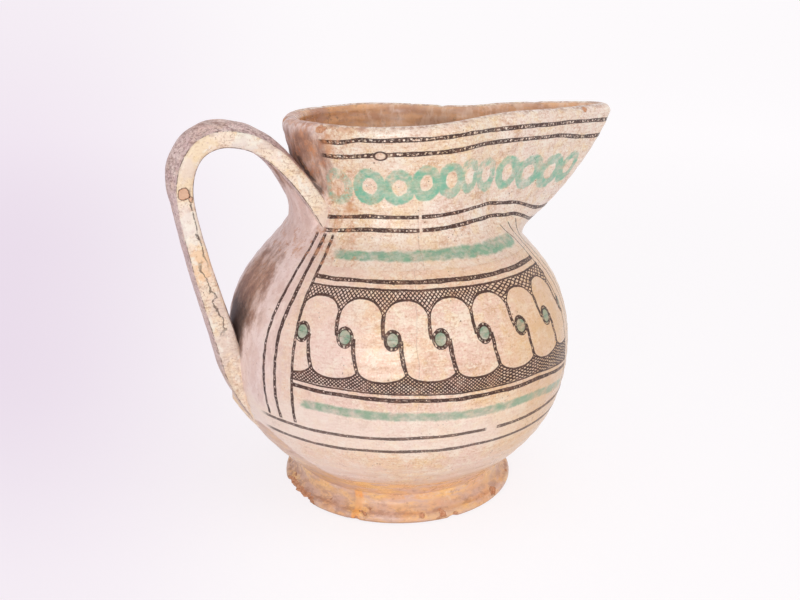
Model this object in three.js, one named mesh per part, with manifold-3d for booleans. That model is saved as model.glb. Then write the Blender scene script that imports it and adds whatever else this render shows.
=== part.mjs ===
// Tin-glazed earthenware jug with a pinched beak spout and a strap handle.
// Millimetres, +Z up. The origin is the centre of the foot's flat underside, on the axis of the body.
// The spout points along +X and the handle lies along -X.
// The clay pieces are the ones a potter forms apart and lutes together: a splayed foot, a thrown
// belly, a thrown collar, a beak let into the collar, a pulled strap and the clay pressed round its ends.

import * as THREE from "three";
import Module from "manifold-3d";
import { mergeVertices } from "three/addons/utils/BufferGeometryUtils.js";

const wasm = await Module();
wasm.setup();

// Foot
const FOOT_RADIUS = 76;
const FOOT_LIP_HEIGHT = 6;
const FOOT_SEAT_THICKNESS = 8;
const FOOT_SEAT_RADIUS = 50;

// Body outline
const WAIST_RADIUS = 65;
const WAIST_HEIGHT = 13;
const BELLY_RADIUS = 110;
const BELLY_WIDEST_HEIGHT = 98;
const BELLY_FLARE = 26;
const BELLY_LOWER_FULLNESS = 46;
const BELLY_UPPER_FULLNESS = 57;
const NECK_RADIUS = 65;
const NECK_HEIGHT = 192;
const NECK_HOLLOW = 30;
const RIM_RADIUS = 72;
const RIM_HEIGHT = 239;
const RIM_WIDTH = 10;
const WALL = 6.5;
const FLOOR = 7;
const SHOULDER_JOINT_HEIGHT = 162;

// Spout
const SPOUT_REACH = 151;
const SPOUT_TIP_RADIUS = 16;
const SPOUT_RISE = 2.2;
const SPOUT_RISE_START = -50;
const SPOUT_RISE_END = 60;
const SPOUT_BREAK_OUT = 24;
const SPOUT_BREAK_UP = 8;
const SPOUT_TIP_CURL = 24;
const SPOUT_TIP_LEAN = 4;
const SPOUT_JOINT_ANGLE = 42;
const LEFT_PINCH_DEPTH = 21;
const LEFT_PINCH_PLACE = 61;
const RIGHT_PINCH_DEPTH = 5;
const RIGHT_PINCH_PLACE = 36;
const PINCH_SPREAD = 18;
const PINCH_FADE = 0.6;
const LIP_ASKEW = 2.4;
const LIP_ASKEW_PLACE = 50;
const LIP_ASKEW_SPREAD = 50;

// Handle, with the reach and the height of each bend; a swing is how far a bend pulls the strap
const STRAP_WIDTH = 31;
const STRAP_EDGE = 10.5;
const STRAP_TAIL_EDGE = 14;
const STRAP_CROWN = 5;
const STRAP_FLAT_CROWN = 1;
const STRAP_CORNER = 2.6;
const STRAP_ROOT_FLARE = 34;
const STRAP_TAIL_FLARE = 5;
const STRAP_ROOT_HEIGHT = 188;
const STRAP_ROOT_SINK = 12;
const STRAP_ROOT_SWING_OUT = 14;
const STRAP_ROOT_SWING_UP = 26;
const STRAP_TOP_REACH = 110;
const STRAP_TOP_HEIGHT = 230;
const STRAP_TOP_SWING_IN = 22;
const STRAP_TOP_SWING_OUT = 15;
const STRAP_BEND_REACH = 134;
const STRAP_BEND_HEIGHT = 200;
const STRAP_BEND_SWING_UP = 17;
const STRAP_BEND_SWING_DOWN = 22;
const STRAP_LAY_HEIGHT = 92;
const STRAP_LAY_STANDOFF = 1;
const STRAP_LAY_SWING_OUT = 6;
const STRAP_LAY_SWING_UP = 30;
const STRAP_TAIL_HEIGHT = 64;
const STRAP_TAIL_SINK = 8;

// Where the strap's section changes, as shares of its length from root to tail
const ROOT_FLARE_SHARES = [0.03, 0.23];
const TAIL_FLARE_SHARES = [0.75, 1];
const THICKENING_SHARES = [0.47, 0.82];
const CROWN_RISE_SHARES = [0.04, 0.33];
const CROWN_FALL_SHARES = [0.38, 0.55];

// Clay pressed round the ends of the strap
const ROOT_PAD_HEIGHT = 44;
const ROOT_PAD_WIDTH = 74;
const ROOT_PAD_DEPTH = 16;
const TAIL_PAD_HEIGHT = 44;
const TAIL_PAD_WIDTH = 52;
const TAIL_PAD_DEPTH = 8;

// Running gap left by the slip between two luted pieces
const LUTING_GAP = 0.3;

// How finely the curves are stepped
const TURN_STEPS = 56;
const FOOT_CURVE_STEPS = 4;
const BELLY_OUTSIDE_STEPS = 18;
const BELLY_INSIDE_STEPS = 14;
const COLLAR_LEVEL_STEPS = 9;
const COLLAR_STEPS = 40;
const BEAK_STEPS = 26;
const RIM_BENDS = [30, 60, 90, 120, 150];
const STRAP_STEPS = 38;
const STRAP_TAIL_STEPS = 5;
const CROWN_PARTS = [1, 0.7, 0.35, 0, -0.35, -0.7, -1];
const PAD_STEPS_ROUND = 20;
const PAD_STEPS_UP = 12;

// Levels of the collar crowd towards the shoulder, and sections of the beak towards its tip
const LEVEL_CROWDING = 1.4;
const BEAK_CROWDING = 1.5;

// Short distances over which a slope is measured
const SLOPE_STEP = 0.5;
const TURN_STEP = 0.01;
const LEAN_STEP = 5;

// Halvings in a search along a curve, and how near two corners must lie to be welded
const HALVINGS = 40;
const WELD_DISTANCE = 1e-4;

const slipWhite = { roughness: 0.45, metalness: 0 };

function clay(name, color, geometry) {
  const mesh = new THREE.Mesh(geometry, new THREE.MeshStandardMaterial({ color, ...slipWhite }));
  mesh.name = name;
  return mesh;
}

// Outline of the turned body, as radius against height

const lowerBelly = new THREE.CubicBezierCurve(
  new THREE.Vector2(WAIST_RADIUS, WAIST_HEIGHT),
  new THREE.Vector2(WAIST_RADIUS + BELLY_FLARE, WAIST_HEIGHT + BELLY_FLARE),
  new THREE.Vector2(BELLY_RADIUS, BELLY_WIDEST_HEIGHT - BELLY_LOWER_FULLNESS),
  new THREE.Vector2(BELLY_RADIUS, BELLY_WIDEST_HEIGHT),
);
const shoulder = new THREE.CubicBezierCurve(
  new THREE.Vector2(BELLY_RADIUS, BELLY_WIDEST_HEIGHT),
  new THREE.Vector2(BELLY_RADIUS, BELLY_WIDEST_HEIGHT + BELLY_UPPER_FULLNESS),
  new THREE.Vector2(NECK_RADIUS, NECK_HEIGHT - NECK_HOLLOW),
  new THREE.Vector2(NECK_RADIUS, NECK_HEIGHT),
);
const collarFlare = new THREE.CubicBezierCurve(
  new THREE.Vector2(NECK_RADIUS, NECK_HEIGHT),
  new THREE.Vector2(NECK_RADIUS, NECK_HEIGHT + (RIM_HEIGHT - NECK_HEIGHT) / 2),
  new THREE.Vector2(RIM_RADIUS, RIM_HEIGHT - (RIM_HEIGHT - NECK_HEIGHT) / 4),
  new THREE.Vector2(RIM_RADIUS, RIM_HEIGHT),
);

function pointAtHeight(curve, height) {
  let low = 0;
  let high = 1;
  for (let i = 0; i < HALVINGS; i++) {
    const middle = (low + high) / 2;
    if (curve.getPoint(middle).y < height) low = middle;
    else high = middle;
  }
  return curve.getPoint((low + high) / 2);
}

function outerRadius(height) {
  if (height < BELLY_WIDEST_HEIGHT) return pointAtHeight(lowerBelly, height).x;
  if (height < NECK_HEIGHT) return pointAtHeight(shoulder, height).x;
  return pointAtHeight(collarFlare, height).x;
}

// The wall keeps its thickness square to the surface, so it is wider across where the body slopes
function widthAcross(wall, slope) {
  return Math.min(wall * Math.hypot(1, slope), 2 * wall);
}

function innerRadius(height) {
  const rise = outerRadius(height + SLOPE_STEP) - outerRadius(height - SLOPE_STEP);
  return outerRadius(height) - widthAcross(WALL, rise / (2 * SLOPE_STEP));
}

// Foot: a splayed disc, flat below, with a shallow seat that takes the belly

function makeFoot() {
  const profile = new THREE.Path();
  const lip = FOOT_LIP_HEIGHT / 2;
  profile.moveTo(0, 0);
  profile.lineTo(FOOT_RADIUS - lip, 0);
  profile.absarc(FOOT_RADIUS - lip, lip, lip, -Math.PI / 2, Math.PI / 2, false);
  profile.quadraticCurveTo(WAIST_RADIUS, FOOT_LIP_HEIGHT, WAIST_RADIUS, WAIST_HEIGHT);
  profile.lineTo(FOOT_SEAT_RADIUS, FOOT_SEAT_THICKNESS);
  profile.lineTo(0, FOOT_SEAT_THICKNESS);
  return turned(profile.getPoints(FOOT_CURVE_STEPS));
}

// Belly: a round vessel with its own floor, open at the shoulder joint

function makeBelly() {
  const bottom = FOOT_SEAT_THICKNESS;
  const floorTop = bottom + FLOOR;
  const insideStart = floorTop + WALL / 2;
  const profile = [new THREE.Vector2(0, bottom)];
  profile.push(new THREE.Vector2(FOOT_SEAT_RADIUS - 2 * LUTING_GAP, bottom));
  profile.push(new THREE.Vector2(WAIST_RADIUS, WAIST_HEIGHT + LUTING_GAP));
  for (const height of bellyLevels().slice(1)) {
    profile.push(new THREE.Vector2(outerRadius(height), height));
  }
  for (const height of heights(SHOULDER_JOINT_HEIGHT, insideStart, BELLY_INSIDE_STEPS)) {
    profile.push(new THREE.Vector2(innerRadius(height), height));
  }
  profile.push(new THREE.Vector2(innerRadius(insideStart) - WALL, floorTop));
  profile.push(new THREE.Vector2(0, floorTop));
  return turned(profile);
}

function bellyLevels() {
  return heights(WAIST_HEIGHT, SHOULDER_JOINT_HEIGHT, BELLY_OUTSIDE_STEPS);
}

// Closer together at the shoulder, where the beak breaks out of the round body
function collarLevels(shoulderOfRim) {
  return heights(0, 1, COLLAR_LEVEL_STEPS).map((share) => {
    return THREE.MathUtils.lerp(SHOULDER_JOINT_HEIGHT, shoulderOfRim, share ** LEVEL_CROWDING);
  });
}

function heights(from, to, count) {
  return Array.from({ length: count + 1 }, (_, i) => THREE.MathUtils.lerp(from, to, i / count));
}

function turned(profile) {
  const geometry = new THREE.LatheGeometry(profile, TURN_STEPS);
  return geometry.rotateX(Math.PI / 2);
}

// Plan outline of the collar and the beak at one height

function keelReach(height) {
  const top = RIM_HEIGHT + SPOUT_RISE;
  const start = outerRadius(SHOULDER_JOINT_HEIGHT);
  const keel = new THREE.CubicBezierCurve(
    new THREE.Vector2(start, SHOULDER_JOINT_HEIGHT),
    new THREE.Vector2(start + SPOUT_BREAK_OUT, SHOULDER_JOINT_HEIGHT + SPOUT_BREAK_UP),
    new THREE.Vector2(SPOUT_REACH - SPOUT_TIP_LEAN, top - SPOUT_TIP_CURL),
    new THREE.Vector2(SPOUT_REACH, top),
  );
  return pointAtHeight(keel, height).x;
}

// Distance from the axis to a circle drawn out to a rounded point along +X
function dropRadius(angle, round, reach) {
  const turn = Math.abs(angle);
  const tipCentre = reach - SPOUT_TIP_RADIUS;
  if (reach <= round) return round;
  const splay = Math.asin((round - SPOUT_TIP_RADIUS) / tipCentre);
  const tangentX = tipCentre + SPOUT_TIP_RADIUS * Math.sin(splay);
  const tangentY = SPOUT_TIP_RADIUS * Math.cos(splay);
  if (turn < Math.atan2(tangentY, tangentX)) {
    const across = tipCentre * Math.sin(turn);
    return tipCentre * Math.cos(turn) + Math.sqrt(SPOUT_TIP_RADIUS ** 2 - across ** 2);
  }
  if (turn < Math.PI / 2 - splay) return round / Math.sin(turn + splay);
  return round;
}

// 1 on the left of the spout and -1 on its right, and nothing along its middle
function sideOf(y) {
  return y / (Math.abs(y) + WALL);
}

function swell(x, place, spread) {
  return Math.exp(-(((x - place) / spread) ** 2));
}

// The thumb on the left pressed harder and further out than the finger on the right
function pinchDepth(x, y) {
  if (y > 0) return LEFT_PINCH_DEPTH * swell(x, LEFT_PINCH_PLACE, PINCH_SPREAD);
  return RIGHT_PINCH_DEPTH * swell(x, RIGHT_PINCH_PLACE, PINCH_SPREAD);
}

function planPoint(angle, height) {
  const turn = Math.atan2(Math.sin(angle), Math.cos(angle));
  const radius = dropRadius(turn, outerRadius(height), keelReach(height));
  const x = radius * Math.cos(turn);
  const y = radius * Math.sin(turn);
  const rise = Math.max(0, height - SHOULDER_JOINT_HEIGHT) / (RIM_HEIGHT - SHOULDER_JOINT_HEIGHT);
  return new THREE.Vector2(x, y - pinchDepth(x, y) * rise ** PINCH_FADE * sideOf(y));
}

function planNormal(angle, height) {
  const along = planPoint(angle + TURN_STEP, height).sub(planPoint(angle - TURN_STEP, height));
  along.normalize();
  return new THREE.Vector2(along.y, -along.x);
}

function rimHeightAt(angle) {
  const plan = planPoint(angle, RIM_HEIGHT);
  const rise = SPOUT_RISE * THREE.MathUtils.smoothstep(plan.x, SPOUT_RISE_START, SPOUT_RISE_END);
  const askew = LIP_ASKEW * swell(plan.x, LIP_ASKEW_PLACE, LIP_ASKEW_SPREAD);
  return RIM_HEIGHT + rise - askew * sideOf(plan.y);
}

// One upright section through the wall: up the outside, over the rounded rim, down the inside
function wallSection(angle) {
  const crest = rimHeightAt(angle);
  const shoulderOfRim = crest - RIM_WIDTH / 2;
  const levels = collarLevels(shoulderOfRim);
  const offsets = [];
  for (const height of levels) offsets.push([0, height]);
  for (const turn of RIM_BENDS) {
    const bend = THREE.MathUtils.degToRad(turn);
    const inward = (RIM_WIDTH / 2) * (1 - Math.cos(bend));
    offsets.push([inward, shoulderOfRim + (RIM_WIDTH / 2) * Math.sin(bend)]);
  }
  for (const height of levels.toReversed()) offsets.push([wallAt(angle, height, shoulderOfRim), height]);
  return offsets.map(([inward, height]) => {
    const outside = Math.min(height, shoulderOfRim);
    const plan = planPoint(angle, outside).addScaledVector(planNormal(angle, outside), -inward);
    return new THREE.Vector3(plan.x, plan.y, height);
  });
}

function wallAt(angle, height, shoulderOfRim) {
  const above = planPoint(angle, height + SLOPE_STEP).length();
  const below = planPoint(angle, height - SLOPE_STEP).length();
  const thickening = THREE.MathUtils.smoothstep(height, NECK_HEIGHT, shoulderOfRim);
  const wall = THREE.MathUtils.lerp(WALL, RIM_WIDTH, thickening);
  const slope = (above - below) / (2 * SLOPE_STEP) * (1 - thickening);
  return widthAcross(wall, slope);
}

// Skin through closed sections of equal length, with a face on each end
function loft(sections) {
  const count = sections[0].length;
  const positions = sections.flat().flatMap((point) => [point.x, point.y, point.z]);
  const index = [];
  for (let i = 0; i + 1 < sections.length; i++) {
    for (let j = 0; j < count; j++) {
      const a = i * count + j;
      const b = i * count + ((j + 1) % count);
      const c = (i + 1) * count + j;
      const d = (i + 1) * count + ((j + 1) % count);
      index.push(a, c, b, b, c, d);
    }
  }
  index.push(...cap(count, 0, false));
  index.push(...cap(count, (sections.length - 1) * count, true));
  const geometry = new THREE.BufferGeometry();
  geometry.setAttribute("position", new THREE.Float32BufferAttribute(positions, 3));
  geometry.setIndex(index);
  return geometry;
}

// End face as a ladder from one side of the section to the other, the same on both sides of a joint
function cap(count, offset, flip) {
  const faces = [];
  for (let low = 0, high = count - 1; low + 1 < high; low++, high--) {
    faces.push([low, low + 1, high]);
    if (low + 2 < high) faces.push([low + 1, high - 1, high]);
  }
  return faces.flatMap(([a, b, c]) => {
    return flip ? [offset + a, offset + c, offset + b] : [offset + a, offset + b, offset + c];
  });
}

// Collar: the thrown neck and rim, open where the beak is let in

function makeCollar() {
  const joint = THREE.MathUtils.degToRad(SPOUT_JOINT_ANGLE) + LUTING_GAP / outerRadius(NECK_HEIGHT);
  const angles = heights(joint, 2 * Math.PI - joint, COLLAR_STEPS);
  return loft(angles.map(wallSection));
}

// Beak: an open trough that springs from the shoulder and runs out to a rounded lip

function makeBeak() {
  const joint = THREE.MathUtils.degToRad(SPOUT_JOINT_ANGLE);
  const angles = heights(-1, 1, BEAK_STEPS).map((share) => {
    return joint * Math.sign(share) * Math.abs(share) ** BEAK_CROWDING;
  });
  return loft(angles.map(wallSection));
}

// Strap handle: a flat-backed, crowned strap swept along a path in the XZ plane

function strapPath() {
  const root = sidePoint(WALL - outerRadius(STRAP_ROOT_HEIGHT), STRAP_ROOT_HEIGHT);
  const leaving = sidePoint(root.x - STRAP_ROOT_SWING_OUT, root.z + STRAP_ROOT_SWING_UP);
  const sunk = root.clone().add(root.clone().sub(leaving).setLength(STRAP_ROOT_SINK));
  const top = sidePoint(-STRAP_TOP_REACH, STRAP_TOP_HEIGHT);
  const bend = sidePoint(-STRAP_BEND_REACH, STRAP_BEND_HEIGHT);
  const tail = strapTail();
  const lay = tail[0];
  const overTop = sidePoint(top.x + STRAP_TOP_SWING_IN, top.z);
  const pastTop = sidePoint(top.x - STRAP_TOP_SWING_OUT, top.z);
  const aboveBend = sidePoint(bend.x, bend.z + STRAP_BEND_SWING_UP);
  const belowBend = sidePoint(bend.x, bend.z - STRAP_BEND_SWING_DOWN);
  const landing = sidePoint(lay.x - STRAP_LAY_SWING_OUT, lay.z + STRAP_LAY_SWING_UP);
  const path = new THREE.CurvePath();
  path.add(new THREE.LineCurve3(sunk, root));
  path.add(new THREE.CubicBezierCurve3(root, leaving, overTop, top));
  path.add(new THREE.CubicBezierCurve3(top, pastTop, aboveBend, bend));
  path.add(new THREE.CubicBezierCurve3(bend, belowBend, landing, lay));
  path.add(new THREE.CatmullRomCurve3(tail));
  return path;
}

// The strap lies along the belly and sinks into it until only its back shows
function strapTail() {
  return heights(STRAP_LAY_HEIGHT, STRAP_TAIL_HEIGHT, STRAP_TAIL_STEPS).map((height, i) => {
    const standoff = THREE.MathUtils.lerp(STRAP_LAY_STANDOFF, -STRAP_TAIL_SINK, i / STRAP_TAIL_STEPS);
    return sidePoint(-outerRadius(height) - standoff, height);
  });
}

function sidePoint(x, z) {
  return new THREE.Vector3(x, 0, z);
}

// Wide at the root, crowned over the bend, thick where it comes down on the belly
function strapSize(share, grow) {
  const { lerp, smoothstep } = THREE.MathUtils;
  const flare = STRAP_ROOT_FLARE * (1 - smoothstep(share, ...ROOT_FLARE_SHARES))
    + STRAP_TAIL_FLARE * smoothstep(share, ...TAIL_FLARE_SHARES);
  const edge = lerp(STRAP_EDGE, STRAP_TAIL_EDGE, smoothstep(share, ...THICKENING_SHARES));
  const crowned = smoothstep(share, ...CROWN_RISE_SHARES) * (1 - smoothstep(share, ...CROWN_FALL_SHARES));
  return {
    halfWidth: (STRAP_WIDTH + flare) / 2 + grow,
    halfEdge: edge / 2 + grow,
    crown: lerp(STRAP_FLAT_CROWN, STRAP_CROWN, crowned),
    corner: STRAP_CORNER,
  };
}

function strapSection(path, share, grow) {
  const centre = path.getPointAt(share);
  const tangent = path.getTangentAt(share);
  const outward = new THREE.Vector3(tangent.z, 0, -tangent.x);
  const { halfWidth, halfEdge, crown, corner } = strapSize(share, grow);
  const outline = [];
  outline.push([-halfWidth + corner, -halfEdge], [halfWidth - corner, -halfEdge]);
  outline.push([halfWidth, -halfEdge + corner], [halfWidth, halfEdge - corner]);
  for (const part of CROWN_PARTS) {
    const across = part * (halfWidth - corner);
    outline.push([across, halfEdge + crown * (1 - part ** 2)]);
  }
  outline.push([-halfWidth, halfEdge - corner], [-halfWidth, -halfEdge + corner]);
  return outline.map(([across, out]) => {
    return centre.clone().addScaledVector(outward, out).add(new THREE.Vector3(0, across, 0));
  });
}

function sweptStrap(grow) {
  const path = strapPath();
  const shares = heights(0, 1, STRAP_STEPS);
  return loft(shares.map((share) => strapSection(path, share, grow)));
}

// Solid outer form of the turned body, grown by the luting gap, for cutting what is pressed on it
function bodyForm() {
  const profile = [new THREE.Vector2(0, WAIST_HEIGHT)];
  const levels = [...bellyLevels(), ...collarLevels(RIM_HEIGHT - RIM_WIDTH / 2).slice(1)];
  for (const height of levels) {
    profile.push(new THREE.Vector2(outerRadius(height) + LUTING_GAP, height));
  }
  profile.push(new THREE.Vector2(0, levels.at(-1)));
  return new THREE.LatheGeometry(profile, 2 * TURN_STEPS).rotateX(Math.PI / 2);
}

function makeStrap() {
  return fromSolid(solid(sweptStrap(0)).subtract(solid(bodyForm())));
}

function pad(centreHeight, size, lean) {
  const geometry = new THREE.SphereGeometry(0.5, PAD_STEPS_ROUND, PAD_STEPS_UP);
  geometry.scale(size.x, size.y, size.z);
  geometry.rotateY(lean);
  geometry.translate(-outerRadius(centreHeight), 0, centreHeight);
  return geometry;
}

function makeRootPad() {
  const size = new THREE.Vector3(ROOT_PAD_DEPTH, ROOT_PAD_WIDTH, ROOT_PAD_HEIGHT);
  const lump = solid(pad(STRAP_ROOT_HEIGHT, size, 0));
  return fromSolid(lump.subtract(solid(bodyForm())).subtract(solid(sweptStrap(LUTING_GAP))));
}

function makeTailPad() {
  const size = new THREE.Vector3(TAIL_PAD_DEPTH, TAIL_PAD_WIDTH, TAIL_PAD_HEIGHT);
  const above = outerRadius(STRAP_TAIL_HEIGHT + LEAN_STEP);
  const below = outerRadius(STRAP_TAIL_HEIGHT - LEAN_STEP);
  const lean = Math.atan2(above - below, 2 * LEAN_STEP);
  const lump = solid(pad(STRAP_TAIL_HEIGHT, size, -lean));
  return fromSolid(lump.subtract(solid(bodyForm())).subtract(solid(sweptStrap(LUTING_GAP))));
}

// Closed meshes to solids and back

function solid(geometry) {
  const bare = geometry.clone();
  bare.deleteAttribute("normal");
  bare.deleteAttribute("uv");
  const welded = mergeVertices(bare, WELD_DISTANCE);
  const vertProperties = new Float32Array(welded.attributes.position.array);
  const triVerts = new Uint32Array(welded.index.array);
  return new wasm.Manifold(new wasm.Mesh({ numProp: 3, vertProperties, triVerts }));
}

function fromSolid(body) {
  const { vertProperties, triVerts } = body.getMesh();
  const geometry = new THREE.BufferGeometry();
  geometry.setAttribute("position", new THREE.Float32BufferAttribute(vertProperties, 3));
  geometry.setIndex(Array.from(triVerts));
  return geometry;
}

const jug = new THREE.Group();
jug.add(clay("foot", 0xc98a52, makeFoot()));
jug.add(clay("belly", 0xe6d3bd, makeBelly()));
jug.add(clay("neck", 0xe2cdb8, makeCollar()));
jug.add(clay("spout", 0xe4ccb0, makeBeak()));
jug.add(clay("handle", 0xdccbb8, makeStrap()));
jug.add(clay("handle_top_luting", 0xd5bda8, makeRootPad()));
jug.add(clay("handle_foot_luting", 0xd9c2ac, makeTailPad()));

export default jug;
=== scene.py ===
# Looks of a tin-glazed earthenware jug with a pinched beak spout and a strap handle.
# Metres, +Z up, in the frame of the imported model. The spout points along +X, the handle along -X.
import functools
import inspect
import math

import bmesh
import bpy
import numpy as np
from mathutils import Matrix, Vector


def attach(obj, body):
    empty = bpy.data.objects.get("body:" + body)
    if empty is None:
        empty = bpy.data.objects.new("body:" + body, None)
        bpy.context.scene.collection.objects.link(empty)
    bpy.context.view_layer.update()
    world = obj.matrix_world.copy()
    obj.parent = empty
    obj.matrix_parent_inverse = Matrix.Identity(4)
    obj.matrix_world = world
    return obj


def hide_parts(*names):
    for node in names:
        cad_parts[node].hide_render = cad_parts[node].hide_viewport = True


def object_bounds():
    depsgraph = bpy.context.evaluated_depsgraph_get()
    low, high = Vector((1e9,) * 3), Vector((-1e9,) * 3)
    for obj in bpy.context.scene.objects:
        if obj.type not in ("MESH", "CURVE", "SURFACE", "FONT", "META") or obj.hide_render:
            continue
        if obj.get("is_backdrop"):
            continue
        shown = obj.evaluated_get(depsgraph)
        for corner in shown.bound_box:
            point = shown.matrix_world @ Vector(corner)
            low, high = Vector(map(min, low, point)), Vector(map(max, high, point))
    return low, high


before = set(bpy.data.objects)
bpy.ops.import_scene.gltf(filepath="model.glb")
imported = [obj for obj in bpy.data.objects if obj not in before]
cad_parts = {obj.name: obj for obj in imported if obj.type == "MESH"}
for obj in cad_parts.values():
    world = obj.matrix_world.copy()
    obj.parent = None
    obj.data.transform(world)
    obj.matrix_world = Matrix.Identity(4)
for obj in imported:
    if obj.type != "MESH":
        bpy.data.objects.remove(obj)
cad_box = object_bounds()

# Sizes of the jug, as in the model that the frame was packed from
FOOT_RADIUS = 0.076
FOOT_LIP_HEIGHT = 0.006
FOOT_SEAT_THICKNESS = 0.008
FOOT_SEAT_RADIUS = 0.050
WAIST_RADIUS = 0.065
WAIST_HEIGHT = 0.013
BELLY_RADIUS = 0.110
BELLY_WIDEST_HEIGHT = 0.098
BELLY_FLARE = 0.026
BELLY_LOWER_FULLNESS = 0.046
BELLY_UPPER_FULLNESS = 0.057
NECK_RADIUS = 0.065
NECK_HEIGHT = 0.192
NECK_HOLLOW = 0.030
RIM_RADIUS = 0.072
RIM_HEIGHT = 0.239
RIM_WIDTH = 0.010
WALL = 0.0065
FLOOR = 0.007
SHOULDER_JOINT_HEIGHT = 0.162
SPOUT_REACH = 0.151
SPOUT_TIP_RADIUS = 0.016
SPOUT_RISE = 0.0022
SPOUT_RISE_START = -0.050
SPOUT_RISE_END = 0.060
SPOUT_BREAK_OUT = 0.024
SPOUT_BREAK_UP = 0.008
SPOUT_TIP_CURL = 0.024
SPOUT_TIP_LEAN = 0.004
SPOUT_JOINT_ANGLE = math.radians(42)
LEFT_PINCH_DEPTH = 0.021
LEFT_PINCH_PLACE = 0.061
RIGHT_PINCH_DEPTH = 0.005
RIGHT_PINCH_PLACE = 0.036
PINCH_SPREAD = 0.018
PINCH_FADE = 0.6
LIP_ASKEW = 0.0024
LIP_ASKEW_PLACE = 0.050
LIP_ASKEW_SPREAD = 0.050
STRAP_WIDTH = 0.031
STRAP_EDGE = 0.0105
STRAP_TAIL_EDGE = 0.014
STRAP_CROWN = 0.005
STRAP_FLAT_CROWN = 0.001
STRAP_CORNER = 0.0026
STRAP_ROOT_FLARE = 0.034
STRAP_TAIL_FLARE = 0.005
STRAP_ROOT_HEIGHT = 0.188
STRAP_ROOT_SINK = 0.012
STRAP_ROOT_SWING = (0.014, 0.026)
STRAP_TOP_REACH = 0.110
STRAP_TOP_HEIGHT = 0.230
STRAP_TOP_SWING_IN = 0.022
STRAP_TOP_SWING_OUT = 0.015
STRAP_BEND_REACH = 0.134
STRAP_BEND_HEIGHT = 0.200
STRAP_BEND_SWING_UP = 0.017
STRAP_BEND_SWING_DOWN = 0.022
STRAP_LAY_HEIGHT = 0.092
STRAP_LAY_STANDOFF = 0.001
STRAP_LAY_SWING = (0.006, 0.030)
STRAP_TAIL_HEIGHT = 0.064
STRAP_TAIL_SINK = 0.008

# Places on the foot: its outer slope, the piece broken out of its lip, its chips, the run of glaze
FOOT_SLOPE = (0.0664, 0.0115)
FOOT_SMEAR_TOP = (0.0682, 0.0172)
FOOT_BREAK = np.array([-0.987, -0.160, 0.0])
FOOT_BREAK_REACH = 0.0722
FOOT_CHIP_RADIUS = 0.0745
FOOT_CHIP_HEIGHT = 0.0045
DRIP_TURN = -132.0
DRIP_HALF_WIDTH = 0.0034

# Chips: turn in degrees, width and depth; on the rim also how far below its crest, in mm
FOOT_CHIPS = ((-56, 0.0042, 0.0022), (-100, 0.0024, 0.0010), (38, 0.005, 0.002))
RIM_CHIPS = (
    (-80, 0.5, 0.0035, 0.0012), (-150, 0.2, 0.006, 0.0010), (-12, 0.0, 0.005, 0.0012),
    (120, 0.0, 0.007, 0.0014), (55, 0.3, 0.004, 0.001), (170, 0.2, 0.005, 0.001),
)

# Chips in the strap's corners: place, width and depth
STRAP_CHIPS = (
    ((-0.1348, -0.0165, 0.2010), 0.0047, 0.0016), ((-0.1300, -0.0165, 0.1975), 0.0030, 0.0010),
    ((-0.125, 0.016, 0.215), 0.005, 0.0012), ((-0.139, 0.004, 0.190), 0.006, 0.0007),
)

# Clay pressed round the ends of the strap: height of its middle, half its width, up and down
TOP_LUTING = (0.186, 0.038, 0.027, 0.024)
FOOT_LUTING = (0.068, 0.026, 0.022, 0.022)
ROOT_FILLET = 0.020
TAIL_SKIRT = 0.0040
LUTING_EDGE = -0.0016
LUTING_DEPTH = 0.0028

# White slip on the belly: its thickness, where it ends and how much higher beside the handle
SLIP_THICKNESS = 0.00035
SLIP_EDGE = 0.0305
SLIP_EDGE_RISE = 0.030

# Places of the decoration: heights in mm above the table, turns in degrees from the spout
DEGREE = math.pi / 180
PANEL_RADIUS = 104.0
MM_PER_DEGREE = PANEL_RADIUS * DEGREE
PANEL_MIDDLE = 93.0
PANEL_HALF = 52.0
PANEL_TOP_LINE = 156.8
INNER_TOP_LINE = 153.2
PANEL_LOW_LINE = 95.6
INNER_LINE_GAP = 3.5
GREEN_BAND_GAP = 10.2
LOBE = 26.3
LOBE_TOP = 137.5
LOBE_TOP_ARCH = 11.5
LOBE_BOTTOM = 113.5
LOBE_BOTTOM_ARCH = 6.8
EYE_LEVEL = 129.5
EYE_SIZE = 4.0
HATCH_PITCH = 1.9
# Height of the middle of the painted shade in the shoulder's crease
SHOULDER_SHADE = 166.0
COLLAR_BAND = 168.4
COLLAR_LINES = (188.6, 181.4)
RING_LINE = 205.5

# Lines under the rim, in mm below its crest
RIM_LINE_DROP = 7.2
LOWER_RIM_LINE_DROP = 15.4

# The two rings under the panel; the upper one stops and starts again at one turn
UPPER_RING = 72.8
LOWER_RING = 63.4
RING_GAP_TURN = 82.1

# Upright lines beside the panel: turn and half width
FIRST_UPRIGHT = 32.0
UPRIGHTS = (
    (FIRST_UPRIGHT, 0.5), (37.0, 0.5), (42.0, 0.5), (145.0, 0.95), (150.0, 1.25), (155.0, 1.0),
)

# Green rings: length along the collar from the spout's keel, height, half width, half height, strength
RINGS = (
    (218.0, 204.0, 10.0, 10.5, 0.60), (197.7, 205.6, 9.6, 10.3, 1.0), (181.1, 205.5, 9.6, 10.0, 0.85),
    (165.5, 207.5, 8.8, 10.0, 0.95), (150.5, 208.8, 8.6, 10.0, 1.0), (137.0, 209.7, 7.6, 10.5, 0.75),
    (121.0, 208.3, 9.8, 10.3, 0.62), (97.2, 207.6, 13.2, 10.2, 0.9), (74.0, 205.4, 12.4, 10.0, 1.0),
    (51.5, 202.8, 12.2, 10.5, 1.0), (31.0, 203.0, 9.0, 10.0, 0.85),
)

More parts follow.
